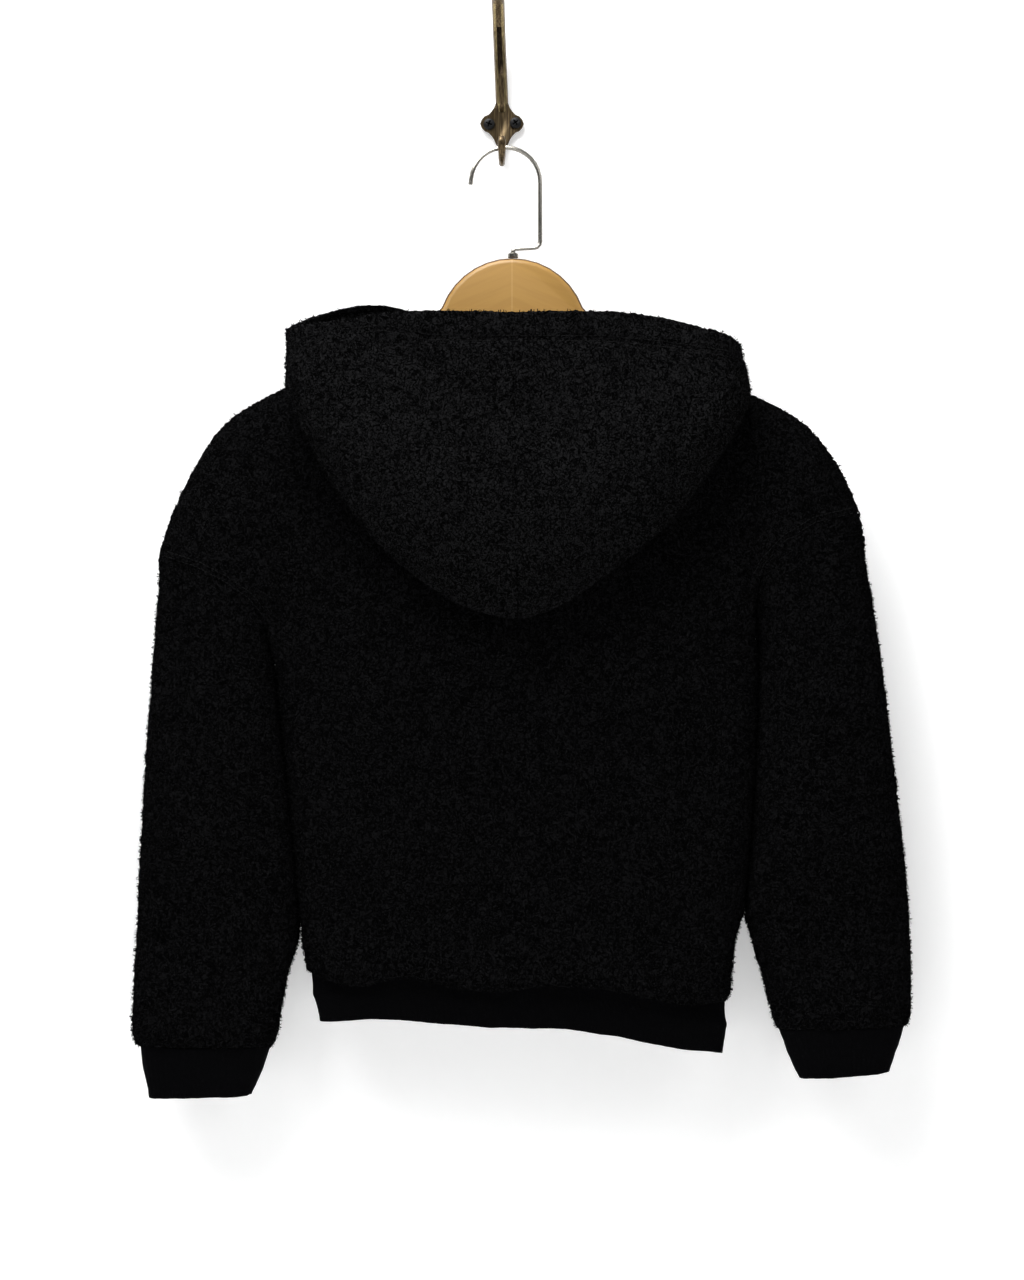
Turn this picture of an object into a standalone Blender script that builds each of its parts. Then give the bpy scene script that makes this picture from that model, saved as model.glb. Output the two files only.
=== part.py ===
"""A cropped fleece hoodie on a wooden hanger, hung from a cast wall hook.

The back of the garment faces -Y, the wall is the plane y = 0, +Z is up, and the origin is the
middle of the wall plate's back face.  Tables and named sizes are in millimetres.
"""
import math

import bmesh
import bpy
import numpy as np

MM = 0.001

# Driving sizes of the garment
FLEECE = 4.0            # thickness of the fleece wall, with its pile
RIB_WALL = 2.4          # thickness of the rib-knit wall between its ribs
RIB_RISE = 1.1          # how far each rib stands up
SEAM_GAP = 0.4          # space left between two sewn pieces
ARMHOLE_GAP = 0.7       # the same along the curved armhole seams
CENTRE_Y = -50.0        # plane of the hanger, side seams and shoulder seams
BACK_DEPTH = 36.0       # from the seam plane to the flat of the back
FRONT_DEPTH = 33.0      # from the seam plane to the flat of the front
SLEEVE_DEPTH = 29.0     # half the thickness of a hanging sleeve
PANEL_POWER = 0.62      # below 1 flattens a section's middle and rounds its edges

# Driving sizes of the hanger and the wall hook
HANGER_THICK = 12.0
HANGER_TOP = (9, -124)  # top of the arch in the middle of the hanger: x, z
HANGER_RISE = 64.0      # radius of that arch
HANGER_DROP = 9.9       # from the top of the cloth's shoulder down to the wood
HANGER_NECK_DROP = 10.0 # how much further down it is at the neck, clear of the neck seam
HANGER_UNDER = [(84, -243), (42, -212), (0, -200), (-42, -212), (-84, -243)]    # its lower edge: x, z
HANGER_TIP_HEIGHT = 13.0
HANGER_TIPS = (5, 6)    # the hanger reaches out to these points of the two shoulder tables
FERRULE_RADIUS = 4.6
FERRULE_TALL = 4.6
WIRE_RADIUS = 1.9
HOOK_RADIUS = 29.5      # centre line of the wire hook
HOOK_CENTRE = (3.2, -58.7)
HOOK_TIP = (-26.8, -61.0)
WIRE_CORNERS = [(9.6, -119.0), (9.6, -115.9), (32.7, -114.6), (32.7, -60.0)]
WIRE_BENDS = (2.7, 5.0)
PLATE_THICK = 3.0
# A quarter of the plate's outline, from its upper tip round to its side: x, z
PLATE_OUTLINE = [(0, 21.5), (4.2, 20.0), (7.0, 13.5), (11.5, 7.8), (16.5, 5.4), (19.0, 0)]
SCREW_RADIUS = 5.0
SCREW_PLACES = {"screw_left": (-11.2, -0.6, 20.0), "screw_right": (11.8, 0.4, 55.0)}    # x, z, turn
# The arm and the prong: x, y, z, heading in degrees, reach inside and outside, width, keel width
ARM = [(0, -1.0, 10, 100, 2.4, 2.0, 6.0, 4.0), (0, -3.4, 18, 97, 3.0, 3.0, 9.4, 6.4),
       (-0.6, -6.0, 34, 98, 3.0, 3.4, 9.6, 6.4), (-1.4, -9.0, 52, 101, 3.0, 3.4, 9.6, 6.4),
       (-2.2, -14.0, 72, 108, 3.0, 3.4, 9.6, 6.4), (-2.8, -22.0, 88, 122, 3.2, 3.4, 9.6, 6.4),
       (-3.2, -34.0, 99, 145, 3.4, 3.4, 9.6, 6.6), (-3.4, -47.0, 104, 162, 3.8, 3.8, 9.8, 7.0),
       (-3.4, -56.0, 106, 168, 5.6, 5.6, 12.0, 8.6), (-3.4, -62.0, 107, 170, 5.2, 5.2, 11.0, 8.0),
       (-3.4, -66.0, 107.6, 170, 2.6, 2.6, 5.6, 4.2)]
PRONG = [(0, -1.0, -15, 245, 3.0, 3.0, 6.0, 3.0), (0, -5.0, -23, 235, 4.0, 4.0, 6.4, 2.8),
         (0, -14.0, -31, 210, 4.6, 5.0, 6.2, 2.2), (0, -27.0, -36, 196, 5.2, 5.6, 5.6, 1.8),
         (0, -40.0, -37.6, 186, 6.0, 6.0, 5.2, 1.5), (0, -50.0, -38.0, 178, 6.9, 6.0, 5.0, 1.4),
         (0, -57.5, -37.0, 152, 5.4, 6.2, 5.4, 1.6), (0, -62.0, -32.0, 120, 3.8, 4.6, 6.6, 2.4),
         (0, -64.0, -26.5, 100, 3.2, 3.4, 7.0, 3.6), (0, -64.6, -22.4, 94, 2.0, 2.0, 4.6, 2.6)]

# The top edge of the body, from the left armhole over both shoulders: x, z
SHOULDER_LEFT = [(-293, -378), (-291, -361), (-276, -329), (-260, -297), (-249, -276), (-233, -260),
                 (-208, -245), (-181, -232), (-138, -212), (-88, -189)]
SHOULDER_RIGHT = [(306, -341), (302, -328), (294, -311), (284, -295), (273, -279), (259, -263),
                  (241, -252), (221, -244), (163, -217), (105, -190)]
NECK_BACK = dict(x=9, z=-204, y=-79)
NECK_FRONT = dict(x=9, z=-246, y=-24)
NECK_SHARES = [(0.07, 0.42, 0.17), (0.28, 0.86, 0.52)]     # how the neck edge rounds: shares in x, y and z

BACK_COLUMNS = 28       # columns of cloth across each panel
FRONT_COLUMNS = 20
BACK_ROWS = 9           # rows between the underarm and the hem
FRONT_ROWS = 6
YOKE_ROWS = 12          # rows of cloth between the shoulder and the underarm
ROW_CROWDING = 1.5      # how much closer the rows lie near the shoulder
SEAM_CROWDING = 1.15    # the same along the armhole seams
RIDGE_SHARE = 0.40      # part of the depth that the cloth gains as it rounds the hanger's edge
RIDGE_POWER = 20.0      # how soon it does

# The armhole seam, from the shoulder to the underarm: x, z, distance from the seam plane
ARMHOLE_LEFT = [(-293, -378, 0), (-282, -382, 17), (-259, -389, 27), (-235, -402, 31), (-214, -416, 26),
                (-203, -432, 18), (-197, -455, 12), (-192, -480, 9), (-189, -493, 0)]
ARMHOLE_RIGHT = [(306, -341, 0), (293, -344, 17), (265, -351, 27), (239, -366, 31), (222, -387, 25),
                 (217, -407, 17), (216, -427, 12), (217, -446, 8), (217, -458, 0)]

# Side seams below the underarm, and the hem: share of the way down, left x, left z, right x, right z
BODY_ROWS = [(0.00, -189, -493, 217, -458), (0.22, -183, -541, 215, -517), (0.45, -178, -590, 213, -577),
             (0.68, -173.6, -640, 207.6, -641), (0.86, -169.8, -682, 202, -692), (1.00, -163, -724, 191, -744)]

HEM_SHARE = 0.96        # the body's depth at the hem, as a share of its full depth

# The fleece pouches over the waistband in waves: x, how far it hangs below the seam
POUCH = [(-162, 8), (-136, 17), (-109, 15), (-89, 6), (-64, 6), (-43, 13), (-18, 16), (11, 13), (36, 6),
         (62, 5), (91, 6), (116, 11), (150, 17), (194, 13)]

# Section of one such wave: share of the hang, share of its bulge, and how far it is tucked in
POUCH_SECTION = [(0.0, 0.9, 0.0), (0.6, 1.0, 0.0), (1.0, 0.4, 2.0), (0.7, 0.0, 6.0), (0.0, 0.0, 8.5)]
TUCKED_WALL = 2.4       # the fleece is pressed thin where it is tucked under

# Soft folds in the panels: x and z of both ends, depth (below zero is a ridge), half width
BACK_FOLDS = [(-236, -300, -208, -412, 7.0, 11.0), (-221, -290, -196, -402, -3.0, 9.0),
              (243, -292, 214, -390, 7.0, 11.0), (228, -290, 200, -400, -3.0, 10.0),
              (-150, -520, -120, -700, 2.5, 16.0), (70, -500, 110, -690, 2.0, 18.0),
              (-40, -540, -52, -715, 2.0, 14.0), (160, -560, 150, -715, 2.5, 14.0)]
FRONT_FOLDS = [(-232, -310, -206, -420, 6.0, 12.0), (240, -300, 212, -400, 6.0, 12.0),
               (-120, -300, -60, -420, 2.0, 16.0), (130, -300, 80, -420, 2.0, 16.0),
               (-90, -560, -110, -700, 2.5, 16.0), (60, -540, 84, -700, 2.0, 18.0)]

# Sleeves below the armhole: outer x, outer z, inner x, inner z, depth as a share of SLEEVE_DEPTH
SLEEVE_LEFT = [(-301, -501, -193, -508, 0.98), (-305, -550, -186, -550, 1.00), (-308, -604, -180.8, -604, 0.98),
               (-311, -655, -176, -655, 0.95), (-313, -705, -173, -705, 0.92), (-315, -745, -184, -742, 0.90),
               (-316, -770, -188, -770, 0.94), (-317, -786, -191, -788, 0.90), (-313, -795, -195, -796, 0.72)]
SLEEVE_RIGHT = [(324, -462, 221, -474, 0.98), (332, -530, 218.4, -530, 1.00), (339, -590, 215, -590, 0.98),
                (345, -640, 210, -640, 0.95), (349, -690, 207.6, -690, 0.92), (350, -730, 218, -727, 0.90),
                (350, -754, 226, -752, 0.94), (350, -770, 230, -772, 0.90), (346, -778, 234, -781, 0.72)]
# Cuffs: outer x, outer z, inner x, inner z, half depth
CUFF_LEFT = [(-310, -795.5, -197, -796.5, 20.0), (-306, -817, -204, -818, 19.0),
             (-302, -839, -213, -837, 18.0)]
CUFF_RIGHT = [(344, -778.5, 236, -781.5, 20.0), (338, -798, 243, -802, 19.0),
              (331, -817, 253, -823, 18.0)]
CUFF_RIBS = 50
RIB_SHARE = 4           # outer points to each point of the plain inside
SLEEVE_POWER = 0.80     # below 1 flattens a sleeve's section
UPPER_SLEEVE_SHARES = (0.14, 0.32, 0.55, 0.78)      # rings between the armhole and the first full ring
# Soft folds in the sleeves, with x counted outwards from the middle of the garment
SLEEVE_FOLDS = [(232, -430, 285, -500, 3.0, 13.0), (222, -560, 300, -590, 2.2, 16.0),
                (210, -640, 262, -700, 2.4, 14.0), (330, -650, 268, -735, 2.2, 14.0)]

# Waistband: left x, left z, right x, right z, how far it draws in from the tucked fleece
BAND_ROWS = [(-153.6, -721.5, 181.6, -741.5, 0.4), (-154.5, -739, 183, -764, 0.8),
             (-160.5, -752, 191.5, -778, 0.9), (-156, -774, 189, -802, 2.4)]
BAND_RIBS = 80          # on each of its two pieces
# The waistband's lower edge hangs in a slow wave: x, how far above the straight line
HEM_WAVE = [(-156, 0), (-114, 7), (-64, 9), (-16, 8), (53, 13), (98, 10), (133, 5), (182, 2), (189, 0)]

# The hood, station by station from the centre of the back round to the centre front.
# rim: edge of the opening; fold: where the outer layer turns under; crest: how high the cloth
# stands above the neck seam before it turns over.
HOOD_COLUMNS = ("rim_x", "rim_z", "rim_y", "belly", "fold_x", "fold_z", "fold_y", "under", "lift", "crest")
HOOD_LEFT = [(9, -178, -121, -137, 14, -434, -103, -88.8, 0, 13),
             (-43, -177, -121, -137, -26, -426, -103, -88.8, 0, 13),
             (-92, -178, -120, -135, -74, -397, -103, -88.8, 0, 13),
             (-138, -185, -117, -131, -120, -353, -102, -88.0, 2, 13),
             (-172, -188, -109, -122, -161, -286, -99, -82.0, 8, 13),
             (-182, -190, -86, -91, -183, -236, -80, -66.0, 13, 13),
             (-166, -176, -54, -52, -170, -201, -54, -52.0, 9, 11),
             (-104, -159, -31, -28, -106, -177, -30, -31.0, 3, 7),
             (-50, -180, -20, -19, -48, -194, -20, -20.5, 1, 4),
             (9, -214, -20, -19.5, 9, -224, -20, -20.5, 0, 3)]
HOOD_RIGHT = [(9, -178, -121, -137, 14, -434, -103, -88.8, 0, 13),
              (58, -177, -121, -137, 50, -423, -103, -88.8, 0, 13),
              (108, -179, -120, -136, 92, -393, -103, -88.8, 0, 13),
              (150, -188, -117, -132, 140, -355, -102, -88.0, 2, 13),
              (187, -194, -109, -122, 185, -294, -99, -82.0, 8, 13),
              (202, -203, -84, -90, 212, -242, -80, -66.0, 13, 13),
              (186, -187, -54, -52, 190, -211, -54, -52.0, 9, 11),
              (94, -165, -31, -28, 98, -181, -30, -31.0, 3, 7),
              (56, -182, -20, -19, 56, -195, -20, -20.5, 1, 4),
              (9, -214, -20, -19.5, 9, -224, -20, -20.5, 0, 3)]
CREST_REACH = 5.0       # the cloth leans this far out where it stands above the neck seam
HOOD_STATIONS = 17      # columns round each half of the hood
HOOD_OUTSIDE = [(0.3, 0.62), (0.6, 1.0), (0.86, 0.72)]      # share of the way down, share of the belly
HOOD_UNDERSIDE = [0.10, 0.40, 0.72]                         # shares of the way up to the neck
NECK_GAP = 0.5          # between the hood and the panels' neck edge
HEM_LINES = [0, 2.5, 12, 20, 24, 28]                        # first rows, as distances from the rim
# The other rows, counted in key points: 4 is the fold, 8 and 9 are the crest, 10 is the neck
HOOD_ROWS = [1.0, 1.5, 2.0, 2.5, 3.0, 3.45, 3.75, 4.0, 4.3, 4.7, 5.3, 6.0, 6.6, 7.3, 8.0, 8.5, 9.0, 10.0]
HEM_ROW = 4             # the row that the rim's stitching pulls in
HEM_THICKNESS = 1.3     # the turned-in hem is this much thicker
# Soft folds in the hood's outer layer: x and z of both ends, depth, half width
HOOD_FOLDS = [(-110, -196, 64, -270, 3.5, 9.0), (-80, -228, 30, -360, 3.0, 9.0), (20, -290, 46, -372, 2.0, 9.0),
              (156, -262, 140, -345, 4.0, 10.0), (-135, -235, -95, -330, 2.5, 11.0), (110, -215, 122, -290, 2.0, 12.0)]
HEM_GROOVE = 1.3        # how deep the stitching pulls the fleece in


def new_material(name, colour, roughness, metallic=0.0):
    material = bpy.data.materials.new(name)
    material.use_nodes = True
    shader = material.node_tree.nodes["Principled BSDF"]
    shader.inputs["Base Color"].default_value = (*colour, 1.0)
    shader.inputs["Roughness"].default_value = roughness
    shader.inputs["Metallic"].default_value = metallic
    material.diffuse_color = (*colour, 1.0)
    return material


def through(keys, places):
    """Points on the smooth curve through the key points, each place counted in key points."""
    line = np.array(keys, float)
    ends = np.vstack([2 * line[0] - line[1], line, 2 * line[-1] - line[-2]])
    points = []
    for place in places:
        i = min(int(place), len(line) - 2)
        t = place - i
        a, b, c, d = ends[i:i + 4]
        points.append(0.5 * (2 * b + (c - a) * t + (2 * a - 5 * b + 4 * c - d) * t ** 2
                             + (3 * b - a - 3 * c + d) * t ** 3))
    return np.array(points)


def smooth_line(points, count, crowding=1.0):
    """A smooth curve through the points, read at count points, evenly or closer to its start."""
    fine = through(points, np.linspace(0, len(points) - 1, 12 * (len(points) - 1) + 1))
    along = np.concatenate([[0], np.cumsum(np.linalg.norm(np.diff(fine, axis=0), axis=1))])
    steps = np.linspace(0, 1, count) ** crowding * along[-1]
    return np.stack([np.interp(steps, along, fine[:, k]) for k in range(fine.shape[1])], axis=1)


def table_rows(table, shares):
    """Rows of a table read smoothly at the given shares of its length."""
    rows = np.array(table, float)
    steps = np.linspace(0, 1, len(rows))
    tangents = np.gradient(rows, steps, axis=0)
    found = []
    for share in shares:
        i = min(int(np.searchsorted(steps, share, side="right")) - 1, len(rows) - 2)
        width = steps[i + 1] - steps[i]
        t = (share - steps[i]) / width
        found.append((2 * t ** 3 - 3 * t ** 2 + 1) * rows[i] + (t ** 3 - 2 * t ** 2 + t) * width * tangents[i]
                     + (3 * t ** 2 - 2 * t ** 3) * rows[i + 1] + (t ** 3 - t ** 2) * width * tangents[i + 1])
    return np.array(found)


def fold_depth(x, z, folds):
    """How far the soft folds pull the cloth in at one place."""
    total = 0.0
    for x0, z0, x1, z1, depth, half_width in folds:
        run, drop = x1 - x0, z1 - z0
        share = ((x - x0) * run + (z - z0) * drop) / (run * run + drop * drop)
        inside = min(max(share, 0.0), 1.0)
        off = math.hypot(x - x0 - inside * run, z - z0 - inside * drop)
        total += depth * math.exp(-(off / half_width) ** 2)
    return total


def normals(grid, closed):
    """Unit normals of a grid of points, rows down and columns across, facing row x column."""
    down = np.gradient(grid, axis=0)
    if closed:
        across = np.roll(grid, -1, axis=1) - np.roll(grid, 1, axis=1)
    else:
        across = np.gradient(grid, axis=1)
    cross = np.cross(across, down)
    return cross / np.maximum(np.linalg.norm(cross, axis=2, keepdims=True), 1e-9)


def unit(vector):
    return vector / np.maximum(np.linalg.norm(vector, axis=-1, keepdims=True), 1e-9)


def settled(out, passes):
    """Normals averaged with their neighbours, so that the inside of a tight fold doesn't cross itself."""
    for _ in range(passes):
        out = np.concatenate([out[:1], (out[:-2] + 2 * out[1:-1] + out[2:]) / 4, out[-1:]], axis=0)
        out = np.concatenate([out[:, :1], (out[:, :-2] + 2 * out[:, 1:-1] + out[:, 2:]) / 4, out[:, -1:]], axis=1)
    return out


def wall_object(name, outer, inner, closed, material):
    """One closed wall between an outer and an inner grid, which may differ in columns."""
    mesh = bmesh.new()
    sheets = []
    for grid in (outer, inner):
        sheets.append([[mesh.verts.new(point * MM) for point in row] for row in grid])
    for side, sheet in enumerate(sheets):
        columns = len(sheet[0])
        for i in range(len(sheet) - 1):
            for j in range(columns if closed else columns - 1):
                k = (j + 1) % columns
                face = [sheet[i][j], sheet[i][k], sheet[i + 1][k], sheet[i + 1][j]]
                mesh.faces.new(face if side == 0 else face[::-1])
    for end in (0, -1):
        stitch_rim(mesh, sheets[0][end], sheets[1][end], closed)
    if not closed:
        for j in (0, -1):
            stitch_rim(mesh, [row[j] for row in sheets[0]], [row[j] for row in sheets[1]], False)
    bmesh.ops.recalc_face_normals(mesh, faces=mesh.faces)
    data = bpy.data.meshes.new(name)
    mesh.to_mesh(data)
    mesh.free()
    data.materials.append(material)
    data.shade_smooth()
    data.set_sharp_from_angle(angle=math.radians(50))
    piece = bpy.data.objects.new(name, data)
    bpy.context.scene.collection.objects.link(piece)
    return piece


def stitch_rim(mesh, outer, inner, closed):
    """Faces between two edge lines, each inner point serving a whole number of outer ones."""
    share = max(1, round(len(outer) / len(inner)))
    spans = len(inner) if closed else len(inner) - 1
    for j in range(spans):
        base, following = inner[j], inner[(j + 1) % len(inner)]
        run = [outer[(j * share + step) % len(outer)] for step in range(share + 1)]
        middle = (share + 1) // 2
        if share == 1:
            if (base.co - run[1].co).length < (following.co - run[0].co).length:
                mesh.faces.new([base, following, run[1]])
                mesh.faces.new([base, run[1], run[0]])
            else:
                mesh.faces.new([base, following, run[0]])
                mesh.faces.new([following, run[1], run[0]])
            continue
        for step in range(middle):
            mesh.faces.new([base, run[step + 1], run[step]])
        mesh.faces.new([base, following, run[middle]])
        for step in range(middle, share):
            mesh.faces.new([following, run[step + 1], run[step]])


def half_section(left, right, depth, count, facing):
    """Half of a flattened oval between two side points: facing -1 is the back, +1 the front."""
    left, right = np.array(left, float), np.array(right, float)
    middle, reach = (left + right) / 2, (right - left) / 2
    points = []
    for turn in np.linspace(0, math.pi, count):
        across = -math.copysign(abs(math.cos(turn)) ** PANEL_POWER, math.cos(turn))
        out = abs(math.sin(turn)) ** PANEL_POWER * depth
        x, z = middle + reach * across
        points.append((x, CENTRE_Y + facing * out, z))
    points = np.array(points)
    points[0, 1] = points[-1, 1] = CENTRE_Y
    return points


def armhole_seam(table, facing):
    """The seam line of one armhole on one face of the garment, from the shoulder to the underarm."""
    ratio = 1.0 if facing < 0 else FRONT_DEPTH / BACK_DEPTH
    points = [(x, CENTRE_Y + facing * depth * ratio, z) for x, z, depth in table]
    return smooth_line(points, YOKE_ROWS, SEAM_CROWDING)


def neck_edge(neck):
    """Points of one panel's neck edge, from its left end over the middle to its right end."""
    left, right = SHOULDER_LEFT[-1], SHOULDER_RIGHT[-1]
    points = [(left[0], CENTRE_Y, left[1])]
    for end, shares in ((left, NECK_SHARES), (right, [(1, 1, 1)] + NECK_SHARES[::-1])):
        for x_share, y_share, z_share in shares:
            points.append((end[0] + (neck["x"] - end[0]) * x_share, CENTRE_Y + (neck["y"] - CENTRE_Y) * y_share,
                           end[1] + (neck["z"] - end[1]) * z_share))
    points.append((right[0], CENTRE_Y, right[1]))
    return points


def panel_grid(facing, columns, body_rows, neck, folds):
    """One body panel: shoulders, yoke between the armholes, and the body down to the hem."""
    depth = BACK_DEPTH if facing < 0 else FRONT_DEPTH
    left_line = armhole_seam(ARMHOLE_LEFT, facing)
    right_line = armhole_seam(ARMHOLE_RIGHT, facing)
    side = shoulder_columns(columns)
    left_top = smooth_line([(x, CENTRE_Y, z) for x, z in SHOULDER_LEFT], side)
    right_top = smooth_line([(x, CENTRE_Y, z) for x, z in SHOULDER_RIGHT], side)[::-1]
    middle = smooth_line(neck_edge(neck), neck_columns(columns))[1:-1]
    top = np.vstack([left_top, middle, right_top])
    under = half_section((ARMHOLE_LEFT[-1][0], ARMHOLE_LEFT[-1][1]),
                         (ARMHOLE_RIGHT[-1][0], ARMHOLE_RIGHT[-1][1]), depth, columns, facing)
    grid = []
    for i in range(YOKE_ROWS):
        v = (i / (YOKE_ROWS - 1)) ** ROW_CROWDING
        swell = RIDGE_SHARE * (1 - (1 - v) ** RIDGE_POWER) + (1 - RIDGE_SHARE) * (1 - (1 - v) ** 2.3)
        row = []
        for j in range(columns):
            u = j / (columns - 1)
            straight = (1 - v) * top[j] + v * under[j]
            left_miss = left_line[i] - ((1 - v) * top[0] + v * under[0])
            right_miss = right_line[i] - ((1 - v) * top[-1] + v * under[-1])
            point = straight + (1 - u) * left_miss + u * right_miss
            flat_y = top[j][1] + (under[j][1] - top[j][1]) * swell
            point[1] = flat_y + ((left_line[i][1] - CENTRE_Y) * max(0.0, 1 - u / 0.30) ** 1.5
                                 + (right_line[i][1] - CENTRE_Y) * max(0.0, 1 - (1 - u) / 0.30) ** 1.5)
            row.append(point)
        row[0], row[-1] = left_line[i].copy(), right_line[i].copy()
        grid.append(row)
    shares = np.linspace(0, 1, body_rows + 1)[1:]
    for share in shares:
        _, xl, zl, xr, zr = table_rows(BODY_ROWS, [share])[0]
        grid.append(list(half_section((xl, zl), (xr, zr), depth * (1 - (1 - HEM_SHARE) * share), columns, facing)))
    grid = np.array(grid)
    pouch_rows = []
    hang = np.array(POUCH, float)
    base = grid[-1]
    turns = np.linspace(0, math.pi, columns)
    outward = np.stack([-np.cos(turns), facing * np.sin(turns), np.zeros(columns)], axis=1)
    fall = np.interp(base[:, 0], hang[:, 0], hang[:, 1])[:, None]
    for drop, bulge, tuck in POUCH_SECTION:
        row = base + outward * (bulge * (3.0 + 0.12 * fall) - tuck)
        row[:, 2:] -= drop * fall
        pouch_rows.append(row)
    grid[-1] = pouch_rows[0]
    grid = np.concatenate([grid, np.array(pouch_rows[1:])], axis=0)
    for i in range(1, len(grid) - 4):
        for j in range(1, columns - 1):
            u = j / (columns - 1)
            hold = min(1.0, 8 * u, 8 * (1 - u))
            grid[i, j, 1] -= facing * fold_depth(grid[i, j, 0], grid[i, j, 2], folds) * hold
    return grid


def shoulder_columns(columns):
    """How many of a panel's columns lie along each shoulder."""
    return columns * 36 // 100


def neck_columns(columns):
    """How many points lie along the neck edge, with the ends of both shoulders."""
    return columns - 2 * shoulder_columns(columns) + 2


def panel_normals(grid, facing):
    out = normals(grid, False)
    middle = grid.shape[1] // 2
    if out[YOKE_ROWS, middle, 1] * facing < 0:
        out = -out
    return out


def seam_directions(sleeve_points, back, front, column):
    """Along one armhole: which way is out of the cloth, and which way is along the sleeve."""
    out = outward_normals(sleeve_points)[0]
    back_out, front_out = panel_normals(back, -1)[:YOKE_ROWS, column], panel_normals(front, 1)[:YOKE_ROWS, column]
    out = unit(out + np.vstack([back_out, front_out[-2:0:-1]]))
    ring = sleeve_points[0]
    tangent = unit(np.roll(ring, -1, axis=0) - np.roll(ring, 1, axis=0))
    out = out - tangent * np.sum(out * tangent, axis=1, keepdims=True)
    out[[0, YOKE_ROWS - 1], 1] = 0
    out = unit(out)
    along = np.cross(tangent, out)
    along = along * np.sign(np.sum(along * (sleeve_points[1] - ring), axis=1, keepdims=True))
    along[[0, YOKE_ROWS - 1], 1] = 0
    return out, unit(along)


def panel(name, grid, facing, left_seam, right_seam, material):
    """The wall of one panel, set back a little from each of its seams."""
    columns = grid.shape[1]
    out = panel_normals(grid, facing)
    picks = list(range(YOKE_ROWS)) if facing < 0 else [0] + list(range(-1, -YOKE_ROWS + 1, -1)) + [YOKE_ROWS - 1]
    for j, beside, sign in ((0, 1, -1.0), (columns - 1, columns - 2, 1.0)):
        out[:, j] = out[:, beside]
        out[:, j, 1] = 0
        out[YOKE_ROWS:, j] = unit(out[YOKE_ROWS:, j] * [1, 0, 1])
        out[YOKE_ROWS:-4, j] = (sign, 0, 0)
    for j in range(shoulder_columns(columns)):
        for column in (j, columns - 1 - j):
            first, last = max(column - 1, 0), min(column + 1, columns - 1)
            run = grid[0, last] - grid[0, first]
            out[0, column] = unit(np.array([-run[2], 0, run[0]]))
    out[:YOKE_ROWS, 0], out[:YOKE_ROWS, -1] = left_seam[0][picks], right_seam[0][picks]
    wall = np.full((len(grid), 1, 1), FLEECE)
    wall[1 - len(POUCH_SECTION):] = TUCKED_WALL
    inner = grid - out * wall
    shift = np.zeros_like(grid)
    shift[:YOKE_ROWS, 0] -= left_seam[1][picks] * ARMHOLE_GAP / 2
    shift[:YOKE_ROWS, -1] -= right_seam[1][picks] * ARMHOLE_GAP / 2
    side = shoulder_columns(columns)
    shift[YOKE_ROWS - 1:, [0, -1], 1] = shift[0, :side, 1] = shift[0, -side:, 1] = facing * SEAM_GAP / 2
    shift[0, [0, -1], 1] = facing * SEAM_GAP / 2
    return wall_object(name, grid + shift, inner + shift, False, material)


def resample(line, count, closed):
    """The same line read at count evenly spaced points."""
    points = np.vstack([line, line[:1]]) if closed else line
    along = np.concatenate([[0], np.cumsum(np.linalg.norm(np.diff(points, axis=0), axis=1))])
    steps = np.linspace(0, along[-1], count, endpoint=not closed)
    return np.stack([np.interp(steps, along, points[:, k]) for k in range(3)], axis=1)


def oval_ring(outer, inner, depth, stations):
    """A ring round a sleeve, from its outer side over the back to its inner side and round."""
    middle, reach = (np.array(outer) + inner) / 2, (np.array(outer) - inner) / 2
    points = []
    for k in range(2 * stations - 2):
        turn = math.pi * k / (stations - 1)
        across = math.copysign(abs(math.cos(turn)) ** SLEEVE_POWER, math.cos(turn))
        out = math.copysign(abs(math.sin(turn)) ** SLEEVE_POWER, math.sin(turn)) if k % (stations - 1) else 0.0
        x, z = middle + reach * across
        points.append((x, CENTRE_Y - depth * out, z))
    return np.array(points)


def sleeve_grid(armhole, table, folds):
    """A sleeve's rings: the first is the armhole seam, the last is tucked in at the cuff."""
    back, front = armhole_seam(armhole, -1), armhole_seam(armhole, 1)
    first = np.vstack([back, front[-2:0:-1]])
    ovals = [oval_ring((xo, zo), (xi, zi), share * SLEEVE_DEPTH, YOKE_ROWS) for xo, zo, xi, zi, share in table]
    rings = [first] + [(1 - share) * first + share * ovals[0] for share in UPPER_SLEEVE_SHARES]
    grid = np.array(rings + ovals)
    out = outward_normals(grid)
    side = 1 if armhole is ARMHOLE_RIGHT else -1
    for i in range(1, len(grid) - 2):
        for j in range(grid.shape[1]):
            x, y, z = grid[i, j]
            grid[i, j] -= out[i, j] * fold_depth(x * side, z, folds) * min(1.0, abs(y - CENTRE_Y) / 10.0)
    return grid


def sleeve(name, grid, seam, material):
    """The wall of one sleeve, set back a little from its armhole seam."""
    out = outward_normals(grid)
    out[0] = seam[0]
    shift = np.zeros_like(grid)
    shift[0] = seam[1] * ARMHOLE_GAP / 2
    return wall_object(name, grid + shift, grid - out * FLEECE + shift, True, material)


def outward_normals(grid):
    """Normals of a tube's rings, turned away from its middle."""
    out = normals(grid, True)
    middle = grid.mean(axis=1, keepdims=True)
    if np.sum(out * (grid - middle)) < 0:
        out = -out
    return out


def ribbed(line, ribs, closed, out):
    """An outer line with a rib at every other point, and the plain line inside it."""
    count = 2 * ribs if closed else 2 * ribs + 1
    lift = np.where(np.arange(count) % 2 == 1, 0.0, -RIB_RISE)[:, None]
    outer = resample(line, count, closed)
    outward = unit(resample(out, count, closed))
    plain = outer[::RIB_SHARE] - outward[::RIB_SHARE] * (RIB_WALL + RIB_RISE)
    return outer + outward * lift, plain


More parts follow.
